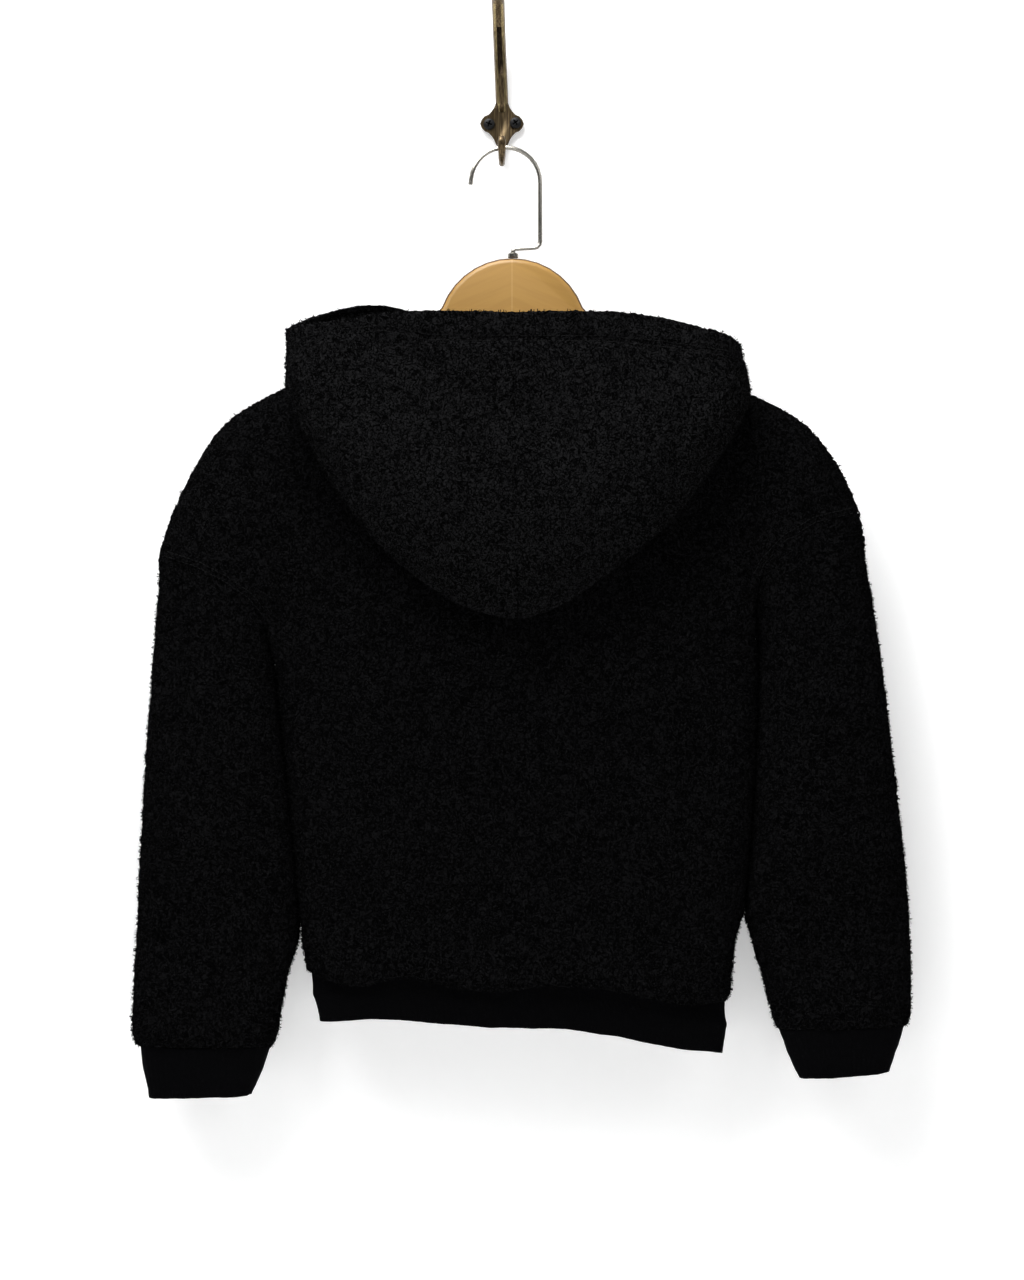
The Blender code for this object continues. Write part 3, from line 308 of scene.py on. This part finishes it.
def dressed(node, name, material, core, creases, seed, facing=None, finest=SHOWN):
    """A cloth piece: smoothed, creased, and raised into tufts on its outer side."""
    def on_outside(face):
        centre = face.calc_center_median()
        return face.normal.dot(outer_core(centre, core) - centre) < 0

    piece = cloth_copy(node, name, material)
    smooth_once(piece)
    for longest in (COARSE, finest):
        split_long_edges(piece, longest * MM, on_outside)
    mesh = bmesh.new()
    mesh.from_mesh(piece.data)
    mesh.normal_update()
    moves = []
    for vert in mesh.verts:
        point = vert.co.copy()
        towards = vert.normal.dot(outer_core(point, core) - point)
        tall = (tuft_height(point) - MEAN_TUFT) * TUFT_RISE if towards < 0 else 0.0
        if towards < 0 and facing is not None:
            tall += side_swell(point, vert.normal, facing)
        pull = crease_depth(point.x / MM, point.z / MM, creases, seed) * MM * abs(vert.normal.y)
        side = -1.0 if towards < 0 else 1.0
        moves.append(point + vert.normal * (tall + side * pull))
    for vert, place in zip(mesh.verts, moves):
        vert.co = place
    mesh.to_mesh(piece.data)
    mesh.free()
    piece.data.shade_smooth()
    print(name, "triangles:", sum(len(face.vertices) - 2 for face in piece.data.polygons))
    return piece


# %% [markdown]
# The body is two panels that meet at the shoulders and sides. The back hangs in long, very soft
# folds from the hanger's ends, and the front, which hangs out of sight, gets folds like them.

# %% Body panels
BACK_CREASES = [(-214, -300, -196, -430, 2.2, 9), (228, -300, 204, -410, 2.2, 9),
                (-165, -470, -130, -600, 1.6, 12), (190, -450, 160, -590, 1.6, 12),
                (-60, -480, -75, -640, 1.2, 15), (70, -470, 92, -650, 1.2, 15),
                (-120, -610, -150, -700, -1.2, 10), (110, -620, 150, -710, -1.2, 10)]
FRONT_CREASES = [(-210, -310, -190, -430, 2.0, 10), (226, -300, 200, -420, 2.0, 10),
                 (-120, -330, -70, -470, 1.6, 13), (130, -330, 84, -480, 1.6, 13),
                 (-80, -540, -100, -690, 1.4, 14), (60, -540, 90, -690, -1.3, 14)]
BODY_CORE = (-0.135, 0.165, -0.050)
back = dressed("back_panel", "back_panel_fleece", fleece, BODY_CORE, BACK_CREASES, 1.0, 0)
front = dressed("front_panel", "front_panel_fleece", fleece, BODY_CORE, FRONT_CREASES, 2.0, 0, HIDDEN)

# %% [markdown]
# Each sleeve hangs from its dropped armhole and folds a little at the elbow. The right one is hung
# higher, so it gets the left one's folds as a mirror image, 25 mm up. The last number says which
# side of the sleeve touches the body.

# %% Sleeves
LEFT_CREASES = [(-262, -410, -285, -500, 1.8, 10), (-300, -560, -228, -590, 1.5, 9),
                (-210, -640, -262, -700, 1.5, 9), (-296, -700, -240, -740, 1.3, 8)]
RIGHT_CREASES = [(-x0, z0 + 25, -x1, z1 + 25, depth, wide) for x0, z0, x1, z1, depth, wide in LEFT_CREASES]
LEFT_CORE, RIGHT_CORE = (-0.275, -0.225, -0.050), (0.255, 0.305, -0.050)
sleeve_left = dressed("sleeve_left", "sleeve_left_fleece", fleece, LEFT_CORE, LEFT_CREASES, 3.0, 1)
sleeve_right = dressed("sleeve_right", "sleeve_right_fleece", fleece, RIGHT_CORE, RIGHT_CREASES, 4.0, -1)

# %% [markdown]
# The hood lies folded down the back. Its first six folds are short pieces of one line, where twin
# stitching draws in the hem of the rim. The others are the long troughs that a heavy hood falls in.

# %% Hood
HOOD_CREASES = [(-166, -201, -131, -194, 1.2, 3), (-131, -194, -97, -191, 1.2, 3),
                (-97, -191, -60, -199, 1.5, 3), (-60, -199, 84, -200, 1.7, 3),
                (84, -200, 130, -204, 1.6, 3), (130, -204, 192, -212, 1.4, 3),
                (-98, -205, 60, -285, 2.8, 8), (-85, -250, 20, -330, 2.4, 7), (22, -300, 44, -370, 2.2, 6),
                (150, -262, 138, -340, 2.6, 8), (-140, -230, -110, -320, 2.0, 8)]
HOOD_CORE = (-0.085, 0.108, -0.108)
# The hood wears the lighter copy of the pile: painted light.
hood_left = dressed("hood_left", "hood_left_fleece", hood_fleece_painted_lighter, HOOD_CORE, HOOD_CREASES, 5.0)
hood_right = dressed("hood_right", "hood_right_fleece", hood_fleece_painted_lighter, HOOD_CORE, HOOD_CREASES, 6.0)

# %% [markdown]
# The cuffs and the waistband are rib knit: columns of stitches about 4.5 mm apart that draw the
# fleece in. The solid's ribs are straight and even. A knitter's rib wavers and is pulled shut here
# and there, so each rib gets a slow wave, and subdivision rounds its ridge. The band's two upper
# corners are also moved out, to fill the notch that the solids leave under the fleece.

# %% Rib-knit cuffs and waistband
RIB_RIM_ANGLE = math.radians(66)        # steeper than the side of a rib
RIB_CELL = 5.0 * MM                     # longest edge of a cell before it is smoothed
RIB_WAVE, RIB_WANDER = 26 * MM, 1.1     # one wave of a rib, and how far it strays in millimetres
KNOT_SPACE, KNOT_RISE = 7 * MM, 0.35    # the small bumps on a rib, and their height in millimetres
BAND_MIDDLE = 15 * MM                   # x of the waistband's middle
CORNER_REACH = 8.5 * MM                 # how far its upper corners are moved out
CORNER_Z = (-0.735, -0.759)             # the height of the left and of the right corner, in metres
CORNER_HEIGHT = 0.013                   # over which the reach fades, up and down
CORNER_START, CORNER_FADE = 0.150, 0.018        # from this far out of the middle, growing over that


def corner_reach(point):
    """The waistband springs out to the fleece's width as soon as it leaves the seam."""
    from_middle = point.x - BAND_MIDDLE
    near_side = min(max((abs(from_middle) - CORNER_START) / CORNER_FADE, 0.0), 1.0)
    below = CORNER_Z[0] if from_middle < 0 else CORNER_Z[1]
    fade = math.exp(-((point.z - below) / CORNER_HEIGHT) ** 2)
    return math.copysign(CORNER_REACH, from_middle) * near_side * fade


def ribbed_piece(node, name, seed):
    piece = cloth_copy(node, name, rib_knit, RIB_RIM_ANGLE)
    split_long_edges(piece, RIB_CELL)
    smooth_once(piece)
    start = Vector((seed, 0, 0))
    moved = []
    for vert in piece.data.vertices:
        wave = noise.noise_vector(vert.co / RIB_WAVE + start) * RIB_WANDER * MM
        if node.startswith("waistband"):
            wave.x += corner_reach(vert.co)
        knot = vert.normal * noise.noise(vert.co / KNOT_SPACE) * KNOT_RISE * MM
        moved.extend(vert.co + wave + knot)
    piece.data.vertices.foreach_set("co", moved)
    piece.data.shade_smooth()
    print(name, "triangles:", sum(len(face.vertices) - 2 for face in piece.data.polygons))
    return piece


ribs = {node: ribbed_piece(node, node + "_rib_knit", 3.0 * number)
        for number, node in enumerate(("cuff_left", "cuff_right", "waistband_back", "waistband_front"))}

# %% [markdown]
# A twin needle sews two rows of stitches a few millimetres apart, and the cloth dips under them. On
# the hood they hold the turned hem of the rim, and on the body they flatten the armhole seams.
# Each line of sewing is a list of places in x and z. A ray sent through the room finds the cloth
# there, so every stitch lies on the surface, whatever its folds.

# %% Twin-needle stitching
thread, shader = new_material("black_polyester_thread", "#0E0E0F", 0.7)
shader.inputs["Specular IOR Level"].default_value = 0.1
STITCH = 3.1 * MM       # length of one stitch
STITCH_GAP = 0.7 * MM
THREAD = 0.34 * MM      # half its thickness
TWIN = 4.6 * MM         # between the two needles
RAY_START = 0.4         # metres in front of the wall or behind it
SIXTHS = (0, 1.05, 2.09, 3.14, 4.19, 5.24)      # a turn in six parts, in radians


def cloth_under(pieces, x, z, facing):
    """The first cloth that a ray along Y meets at this place, and its normal."""
    start = Vector((x, facing * RAY_START, z))
    hits = []
    for tree in pieces:
        place, normal, _, _ = tree.ray_cast(start, Vector((0, -facing, 0)))
        if place:
            hits.append((abs(place.y - start.y), place, normal))
    return min(hits, key=lambda hit: hit[0])[1:] if hits else (None, None)


def surface_tree(piece):
    mesh = bmesh.new()
    mesh.from_mesh(piece.data)
    tree = BVHTree.FromBMesh(mesh)
    mesh.free()
    return tree


def even_steps(line, step):
    """Places a fixed step apart along a line of corners."""
    line = np.array(line, float)
    along = np.concatenate([[0], np.cumsum(np.linalg.norm(np.diff(line, axis=0), axis=1))])
    at = np.arange(0, along[-1], step)
    return np.stack([np.interp(at, along, line[:, k]) for k in range(2)], axis=1)


def sewn_line(name, line, offset, trees, facing):
    """A row of stitches: each is a six-sided spindle laid on the cloth."""
    line = np.array(line, float) * MM
    run = np.gradient(line, axis=0)
    run /= np.linalg.norm(run, axis=1, keepdims=True)
    line = line + np.stack([-run[:, 1], run[:, 0]], axis=1) * offset
    places = even_steps(line, STITCH + STITCH_GAP)
    mesh = bmesh.new()
    for (x0, z0), (x1, z1) in zip(places, places[1:]):
        share = STITCH / (STITCH + STITCH_GAP)
        ends = [(x0, z0), (x0 + (x1 - x0) * share, z0 + (z1 - z0) * share)]
        found = [cloth_under(trees, x, z, facing) for x, z in ends]
        if any(place is None for place, _ in found):
            continue
        (a, up), (b, _) = found
        if (b - a).length > 2 * STITCH:
            continue
        middle = (a + b) / 2 + up * THREAD * 1.5
        across = up.cross(b - a).normalized() * THREAD
        rings = []
        for point, width in ((a + up * 0.1 * MM, 0.35), (middle, 1.0), (b + up * 0.1 * MM, 0.35)):
            spokes = [across * math.cos(turn) + up * THREAD * math.sin(turn) for turn in SIXTHS]
            rings.append([mesh.verts.new(point + spoke * width) for spoke in spokes])
        for one, other in zip(rings, rings[1:]):
            for k in range(6):
                mesh.faces.new([one[k], one[(k + 1) % 6], other[(k + 1) % 6], other[k]])
    bmesh.ops.recalc_face_normals(mesh, faces=mesh.faces)
    data = bpy.data.meshes.new(name)
    mesh.to_mesh(data)
    mesh.free()
    data.materials.append(thread)
    data.shade_smooth()
    stitches = bpy.data.objects.new(name, data)
    bpy.context.scene.collection.objects.link(stitches)
    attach(stitches, "root")
    print(name, len(data.polygons) // 12, "stitches")
    return stitches


# Places in millimetres: x and z
HOOD_HEM = [(-166, -201), (-131, -194), (-97, -191), (-60, -199),
            (0, -200), (84, -200), (130, -204), (192, -212)]
ARMHOLE_LEFT = [(-286, -381), (-279, -383), (-258, -390), (-235, -402), (-216, -415), (-204, -430)]
ARMHOLE_RIGHT = [(299, -344), (291, -346), (266, -352), (241, -367), (224, -386), (218, -400)]
hood_trees = [surface_tree(hood_left), surface_tree(hood_right)]
back_tree, front_tree = [surface_tree(back)], [surface_tree(front)]
HEM_SPLIT = 4           # the hood's centre seam crosses its hem at this corner of the line
rows = []
for number, shift in enumerate((-TWIN / 2, TWIN / 2)):
    rows.append((f"hood_left_hem_stitches_{number}", HOOD_HEM[:HEM_SPLIT + 1], shift, hood_trees, -1))
    rows.append((f"hood_right_hem_stitches_{number}", HOOD_HEM[HEM_SPLIT:], shift, hood_trees, -1))
for side, seam, sign in (("left", ARMHOLE_LEFT, 1), ("right", ARMHOLE_RIGHT, -1)):
    for number, shift in enumerate((2.0 * MM, 2.0 * MM + TWIN)):
        rows.append((f"back_panel_{side}_stitches_{number}", seam, sign * shift, back_tree, -1))
        rows.append((f"front_panel_{side}_stitches_{number}", seam, sign * shift, front_tree, 1))
sewn = {row[0]: sewn_line(*row) for row in rows}

# %% [markdown]
# Each finished cloth piece takes the place of its solid and rides on the one body. The fleece and
# rib pieces are kept in a table by the name of their solid, and their cloth area is printed, since
# it has to agree with the flat cut that each one was sewn from.

# %% Ride and replace
fleeces = {"back_panel": back, "front_panel": front, "sleeve_left": sleeve_left, "sleeve_right": sleeve_right,
           "hood_left": hood_left, "hood_right": hood_right}
cloths = {**fleeces, **ribs}
for node, piece in cloths.items():
    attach(piece, "root")
    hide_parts(node)
    print(node, "cloth area", round(sum(face.area for face in piece.data.polygons) / 2, 4), "m2")

# %% [markdown]
# The hanger is beech under honey-coloured varnish: two shaped halves glued in the middle, so the
# grain sweeps down to both sides like a mirror image. Folding the pattern's space at the glue line
# does just that. The faces of the rounded edge get a darker colour: painted shade, since the edge
# turns away from the front.

# %% Varnished hanger
GLUE_LINE = 8.72 * MM                   # x of the joint between the hanger's two halves
HARD_EDGE = math.radians(40)            # an edge sharper than this stays sharp on a hard piece
NO_RIM = math.radians(200)
wood, shader = new_material("honey_varnished_beech_wood", "#BA8F44", 0.5)
shader.inputs["Coat Weight"].default_value = 0.18
shader.inputs["Coat Roughness"].default_value = 0.3
place = add_node(wood, "ShaderNodeTexCoord").outputs["Object"]
parts = add_node(wood, "ShaderNodeSeparateXYZ", [("Vector", place)])
from_glue = add_node(wood, "ShaderNodeMath", [(0, parts.outputs["X"])], operation="SUBTRACT")
from_glue.inputs[1].default_value = GLUE_LINE
folded = add_node(wood, "ShaderNodeMath", [(0, from_glue)], operation="ABSOLUTE")
sweep = add_node(wood, "ShaderNodeMath", [(0, folded), (2, parts.outputs["Z"])], operation="MULTIPLY_ADD")
sweep.inputs[1].default_value = 0.42                        # how steeply the grain runs down
along = add_node(wood, "ShaderNodeMath", [(0, folded)], operation="MULTIPLY")
along.inputs[1].default_value = 0.09                        # stretches the fibres into streaks
grain_place = add_node(wood, "ShaderNodeCombineXYZ", [("X", along), ("Y", parts.outputs["Y"]), ("Z", sweep)])
grain = add_node(wood, "ShaderNodeTexNoise", [("Vector", grain_place)], Scale=1 / (4.5 * MM), Detail=4.0)
tone = add_node(wood, "ShaderNodeValToRGB", [("Fac", grain)])
tone.color_ramp.elements[0].position = 0.30
tone.color_ramp.elements[0].color = linear("#9E752E")
tone.color_ramp.elements[1].position = 0.68
tone.color_ramp.elements[1].color = linear("#A67D34")
seam = add_node(wood, "ShaderNodeMapRange", [("Value", folded)],
                **{"From Min": 0.1 * MM, "From Max": 0.8 * MM, "To Min": 0.22, "To Max": 0.0})
glued = add_node(wood, "ShaderNodeMix", [("Factor", seam)], data_type="RGBA")
join_sockets(wood, tone.outputs["Color"], glued.inputs[6])
glued.inputs[7].default_value = linear("#D9B77C")           # squeezed-out glue under the varnish
join_sockets(wood, glued.outputs[2], shader.inputs["Base Color"])
# Painted shade: a darker colour for the faces of the rounded edge, which turn away from the front.
wood_edge_painted_shade, shader = new_material("beech_edge_painted_shade", "#472A0B", 0.6)
shader.inputs["Specular IOR Level"].default_value = 0.2


def hard_copy(node, materials):
    """A merged copy of a hard solid with its materials; no angle counts as a rim here."""
    piece = cloth_copy(node, node + "_finished", materials[0], NO_RIM)
    for extra in materials[1:]:
        piece.data.materials.append(extra)
    only(piece)
    bpy.ops.object.shade_smooth_by_angle(angle=HARD_EDGE)
    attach(piece, "root")
    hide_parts(node)
    print(piece.name, "triangles:", sum(len(face.vertices) - 2 for face in piece.data.polygons))
    return piece


EDGE_TURN = 0.86        # a face turned further from the front than this is on the rounded edge
hanger = hard_copy("hanger_body", [wood, wood_edge_painted_shade])
# The faces of the rounded edge take the painted shade.
for face in hanger.data.polygons:
    if abs(face.normal.y) < EDGE_TURN:
        face.material_index = 1

# %% [markdown]
# The wire and its ferrule are plated steel: bright nickel that mirrors the room. A polished wire on
# a white wall reads by its dark edges, where it mirrors the dim side of the room.

# %% Nickel-plated wire and ferrule
nickel, shader = new_material("nickel_plated_steel_wire", "#94918A", 0.16, metallic=1.0)
place = add_node(nickel, "ShaderNodeTexCoord").outputs["Object"]
haze = add_node(nickel, "ShaderNodeTexNoise", [("Vector", place)], Scale=1 / (9 * MM), Detail=2.0)
dull = add_node(nickel, "ShaderNodeMapRange", [("Value", haze)], **{"To Min": 0.14, "To Max": 0.36})
join_sockets(nickel, dull.outputs[0], shader.inputs["Roughness"])
for node in ("hanger_hook", "hanger_ferrule"):
    hard_copy(node, [nickel])

# %% [markdown]
# The wall hook is one casting in zinc with an antique-brass finish: it is plated, darkened with a
# chemical, and then relieved by brushing, which leaves streaks and brings the bright metal back
# where the brush reaches: here on the arm's two slanted flanks. The groove down the arm's front
# stays dark. It is cut by two planes and an inset, since the solid has a plain front there.

# %% Antique-brass hook and black screws
def cast_metal(name, dark, light, roughness):
    """Darkened brass with brushing streaks that run down."""
    metal, shader = new_material(name, dark, roughness, metallic=1.0)
    place = add_node(metal, "ShaderNodeTexCoord").outputs["Object"]
    stretch = add_node(metal, "ShaderNodeMapping", [("Vector", place)], Scale=(1.0, 1.0, 0.05))
    streaks = add_node(metal, "ShaderNodeTexNoise", [("Vector", stretch)], Scale=1 / (1.1 * MM), Detail=3.0)
    tone = add_node(metal, "ShaderNodeValToRGB", [("Fac", streaks)])
    tone.color_ramp.elements[0].position = 0.36
    tone.color_ramp.elements[0].color = linear(dark)
    tone.color_ramp.elements[1].position = 0.66
    tone.color_ramp.elements[1].color = linear(light)
    join_sockets(metal, tone.outputs["Color"], shader.inputs["Base Color"])
    return metal


brass = cast_metal("antique_brass_plated_zinc", "#43372A", "#77674D", 0.40)
worn_brass = cast_metal("relieved_antique_brass_edge", "#75664A", "#A3936B", 0.34)
dark_brass = cast_metal("unrelieved_antique_brass_groove", "#19140F", "#3A3025", 0.5)
hook = hard_copy("wall_hook", [brass, worn_brass, dark_brass])
GROOVE = (42 * MM, 80 * MM)     # the groove down the front of the arm runs from z to z
GROOVE_WALL, GROOVE_DEPTH = 0.35 * MM, 0.8 * MM
PLATE_FRONT = -4 * MM           # what lies further forward than this in y,
PLATE_TOP = 10 * MM             # and higher than this, belongs to the arm
mesh = bmesh.new()
mesh.from_mesh(hook.data)
for z in GROOVE:
    bmesh.ops.bisect_plane(mesh, geom=mesh.verts[:] + mesh.edges[:] + mesh.faces[:], plane_co=(0, 0, z),
                           plane_no=(0, 0, 1))
mesh.normal_update()
band = []
for face in mesh.faces:
    centre = face.calc_center_median()
    on_arm = centre.y < PLATE_FRONT and centre.z > PLATE_TOP
    if on_arm and face.normal.y < -0.5 and abs(face.normal.x) > 0.3:
        face.material_index = 1
    if on_arm and face.normal.y < -0.75 and abs(face.normal.x) < 0.15 and GROOVE[0] < centre.z < GROOVE[1]:
        band.append(face)
print("faces of the groove:", len(band))
walls = bmesh.ops.inset_region(mesh, faces=band, thickness=GROOVE_WALL, depth=-GROOVE_DEPTH)["faces"]
for face in band + walls:
    face.material_index = 2
mesh.to_mesh(hook.data)
mesh.free()
only(hook)
bpy.ops.object.shade_smooth_by_angle(angle=HARD_EDGE)
black_steel, shader = new_material("black_oxide_steel_screw", "#141415", 0.45)
shader.inputs["Specular IOR Level"].default_value = 0.2
recess, shader = new_material("shaded_screw_recess", "#020202", 0.9)
shader.inputs["Specular IOR Level"].default_value = 0.0
RECESS_RADIUS = 3.4 * MM        # the cross of the screw lies within this
RECESS_DEPTH = 1.1 * MM         # and its floor is deeper than that
for node in ("screw_left", "screw_right"):
    head = hard_copy(node, [black_steel, recess])
    crown = min(vert.co.y for vert in head.data.vertices)
    middle = sum((vert.co for vert in head.data.vertices), Vector()) / len(head.data.vertices)
    for face in head.data.polygons:
        off = math.hypot(face.center.x - middle.x, face.center.z - middle.z)
        sunk = face.center.y - crown > RECESS_DEPTH
        if off < RECESS_RADIUS and (sunk or abs(face.normal.y) < 0.3):
            face.material_index = 1

# %% [markdown]
# On the outline the pile shows as short curls that stand out against the white wall. Modelling
# each fibre would cost millions of faces, so one curl is a bent blade of three triangles, and tens
# of thousands of them are scattered over the outer faces in one joined mesh for each piece.

# %% Curls of pile
lone_curl, shader = new_material("black_sherpa_loose_curls", "#080808", 0.9)
shader.inputs["Specular IOR Level"].default_value = 0.03
CURL_TALL = 2.5 * MM
CURL_WIDE = 0.42 * MM
CURL_SPACE = 18.0       # square millimetres of cloth to one curl
RIM_SHARE = 2.6         # how many times denser they are where the cloth turns away from the front
FLAT_SHARE = 0.45       # and how much thinner on the flat, where the shader's curls do the work
TURNED = 0.45           # cloth turned this far from the front, of 1, is on the outline
CURL_ROOT = 0.5 * MM    # how deep a curl starts in the pile


def curls_on(piece, core, seed):
    """One mesh of bent blades that stand on the outer side of a cloth piece."""
    chance = np.random.default_rng(seed)
    mesh = piece.data
    mesh.calc_loop_triangles()
    points = np.empty(len(mesh.vertices) * 3)
    mesh.vertices.foreach_get("co", points)
    corners = np.empty(len(mesh.loop_triangles) * 3, int)
    mesh.loop_triangles.foreach_get("vertices", corners)
    triangles = points.reshape(-1, 3)[corners.reshape(-1, 3)]
    centre = triangles.mean(axis=1)
    cross = np.cross(triangles[:, 1] - triangles[:, 0], triangles[:, 2] - triangles[:, 0])
    inward = np.stack([np.clip(centre[:, 0], core[0], core[1]), np.full(len(centre), core[2]),
                       centre[:, 2]], axis=1)
    area = np.linalg.norm(cross, axis=1) / 2 * (np.sum(cross * (inward - centre), axis=1) < 0)
    sideways = 1 - np.abs(cross[:, 1]) / np.linalg.norm(cross, axis=1)
    area *= np.where(sideways > TURNED, RIM_SHARE, FLAT_SHARE)
    count = int(area.sum() / (CURL_SPACE * MM * MM))
    picks = chance.choice(len(area), size=count, p=area / area.sum())
    weights = chance.dirichlet((1, 1, 1), count)[:, :, None]
    base = (triangles[picks] * weights).sum(axis=1)
    up = cross[picks] / np.linalg.norm(cross[picks], axis=1, keepdims=True)
    side = np.cross(up, chance.normal(size=(count, 3)))
    side /= np.linalg.norm(side, axis=1, keepdims=True)
    lean = np.cross(up, side)
    tall = (CURL_TALL * chance.uniform(0.45, 1.15, count))[:, None]
    wide = side * CURL_WIDE
    foot = base - up * CURL_ROOT
    knee = base + up * tall * 0.8 + lean * tall * 0.35
    tip = base + up * tall * 0.75 + lean * tall * 1.25
    blades = np.stack([foot - wide, foot + wide, knee + wide * 0.8, knee - wide * 0.8, tip], axis=1)
    first = 5 * np.arange(count)[:, None]
    faces = np.concatenate([first + [0, 1, 2], first + [0, 2, 3], first + [3, 2, 4]])
    data = bpy.data.meshes.new(piece.name + "_curls")
    data.from_pydata(blades.reshape(-1, 3).tolist(), [], faces.tolist())
    data.materials.append(lone_curl)
    data.shade_smooth()
    curls = bpy.data.objects.new(data.name, data)
    bpy.context.scene.collection.objects.link(curls)
    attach(curls, "root")
    print(curls.name, count, "curls")
    return curls


CORES = {"back_panel": BODY_CORE, "front_panel": BODY_CORE, "sleeve_left": LEFT_CORE,
         "sleeve_right": RIGHT_CORE, "hood_left": HOOD_CORE, "hood_right": HOOD_CORE}
FIRST_SEED = 20
curls = {node: curls_on(fleeces[node], core, FIRST_SEED + number)
         for number, (node, core) in enumerate(CORES.items())}

# %% [markdown]
# Last, a table gives the flat piece that each cloth was cut from: its width, its length, and its
# area where it isn't a rectangle. There was no sewing pattern to read these from, so they were
# worked out from the cloth area of the solids. A sleeve and a cuff are tubes, so their cut goes all
# round. What a cloth rests on is listed too: here the hanger and the next piece. Each cut is printed
# with the number of pieces that ride on it.

# %% The cut of each cloth
# node: width, length and area of the flat piece in metres, and what holds it up
CUTS = {"back_panel": (0.66, 0.52, 0.255, ["hanger_body"]),
        "front_panel": (0.66, 0.50, 0.245, ["hanger_body"]),
        "sleeve_left": (0.31, 0.43, 0.108, ["back_panel_fleece", "front_panel_fleece"]),
        "sleeve_right": (0.32, 0.44, 0.113, ["back_panel_fleece", "front_panel_fleece"]),
        "hood_left": (0.27, 0.40, 0.090, ["back_panel_fleece", "front_panel_fleece"]),
        "hood_right": (0.27, 0.40, 0.090, ["back_panel_fleece", "front_panel_fleece"]),
        "cuff_left": (0.23, 0.046, None, ["sleeve_left_fleece"]),
        "cuff_right": (0.22, 0.046, None, ["sleeve_right_fleece"]),
        "waistband_back": (0.37, 0.058, None, ["back_panel_fleece"]),
        "waistband_front": (0.37, 0.058, None, ["front_panel_fleece"])}
for node, (width, length, area, holders) in CUTS.items():
    on_it = [curls[node]] if node in curls else []
    on_it += [piece for name, piece in sewn.items() if name.startswith(node)]
    print(node, "cut", width, "by", length, "m with", len(on_it), "pieces on it")

# %% [markdown]
# Last come the floor, the wall, the lights and the camera. The camera looks straight at the wall
# from 2.4 m, as the picture was taken, and nothing is shifted or out of focus.

# %% Wall, floor, light and camera
WALL_Y = 1.2 * MM       # the wall's face, just behind the plate
FLOOR_Z = -1.35
REACH = 3.5             # how far the wall and the floor run
WALL_GLOW = 0.27        # a lit backdrop, as in a studio, keeps the cast shadows faint

paint, shader = new_material("white_wall_paint", "#F7F7F7", 0.95)
shader.inputs["Specular IOR Level"].default_value = 0.1
shader.inputs["Emission Color"].default_value = linear("#FFFFFF")
shader.inputs["Emission Strength"].default_value = WALL_GLOW
bpy.ops.object.select_all(action="DESELECT")
bpy.ops.mesh.primitive_plane_add(size=2 * REACH, location=(0, WALL_Y, FLOOR_Z + REACH),
                                 rotation=(math.pi / 2, 0, 0))
wall = bpy.context.active_object
bpy.ops.mesh.primitive_plane_add(size=2 * REACH, location=(0, WALL_Y - REACH, FLOOR_Z))
floor = bpy.context.active_object
for sheet, name in ((wall, "wall"), (floor, "floor")):
    sheet.name = sheet.data.name = name
    sheet.data.materials.append(paint)


def lamp(name, place, aim, width, power):
    """A square soft box that shines towards a point."""
    data = bpy.data.lights.new(name, "AREA")
    data.size = width
    data.energy = power
    light = bpy.data.objects.new(name, data)
    light.location = place
    light.rotation_mode = "QUATERNION"
    light.rotation_quaternion = (Vector(aim) - Vector(place)).to_track_quat("-Z", "Y")
    bpy.context.scene.collection.objects.link(light)
    return light


# name, place, the point it shines at, width in metres, power in watts
lamp("soft_box_left", (-1.5, -1.7, 1.7), (0, 0, -0.4), 1.1, 38)
lamp("soft_box_right", (1.9, -2.3, 1.3), (0, 0, -0.4), 1.8, 16)
lamp("soft_box_top", (-0.3, -0.7, 1.4), (0, -0.05, -0.25), 1.0, 42)
world = bpy.data.worlds.new("studio")
world.use_nodes = True
world.node_tree.nodes["Background"].inputs["Color"].default_value = (1, 1, 1, 1)
world.node_tree.nodes["Background"].inputs["Strength"].default_value = 0.13
bpy.context.scene.world = world
bpy.context.scene.view_settings.view_transform = "Standard"

scene = bpy.context.scene
camera_data = bpy.data.cameras.new("camera")
camera = bpy.data.objects.new("camera", camera_data)
scene.collection.objects.link(camera)
scene.camera = camera
camera.location = (0.00872, -2.40, -0.44985)
camera.rotation_euler = (math.radians(90), 0, 0)
camera_data.lens = 77.4
camera_data.sensor_width = 36
print("camera", round(WALL_Y - camera.location.y, 2), "m from the wall, lens", camera_data.lens, "mm")
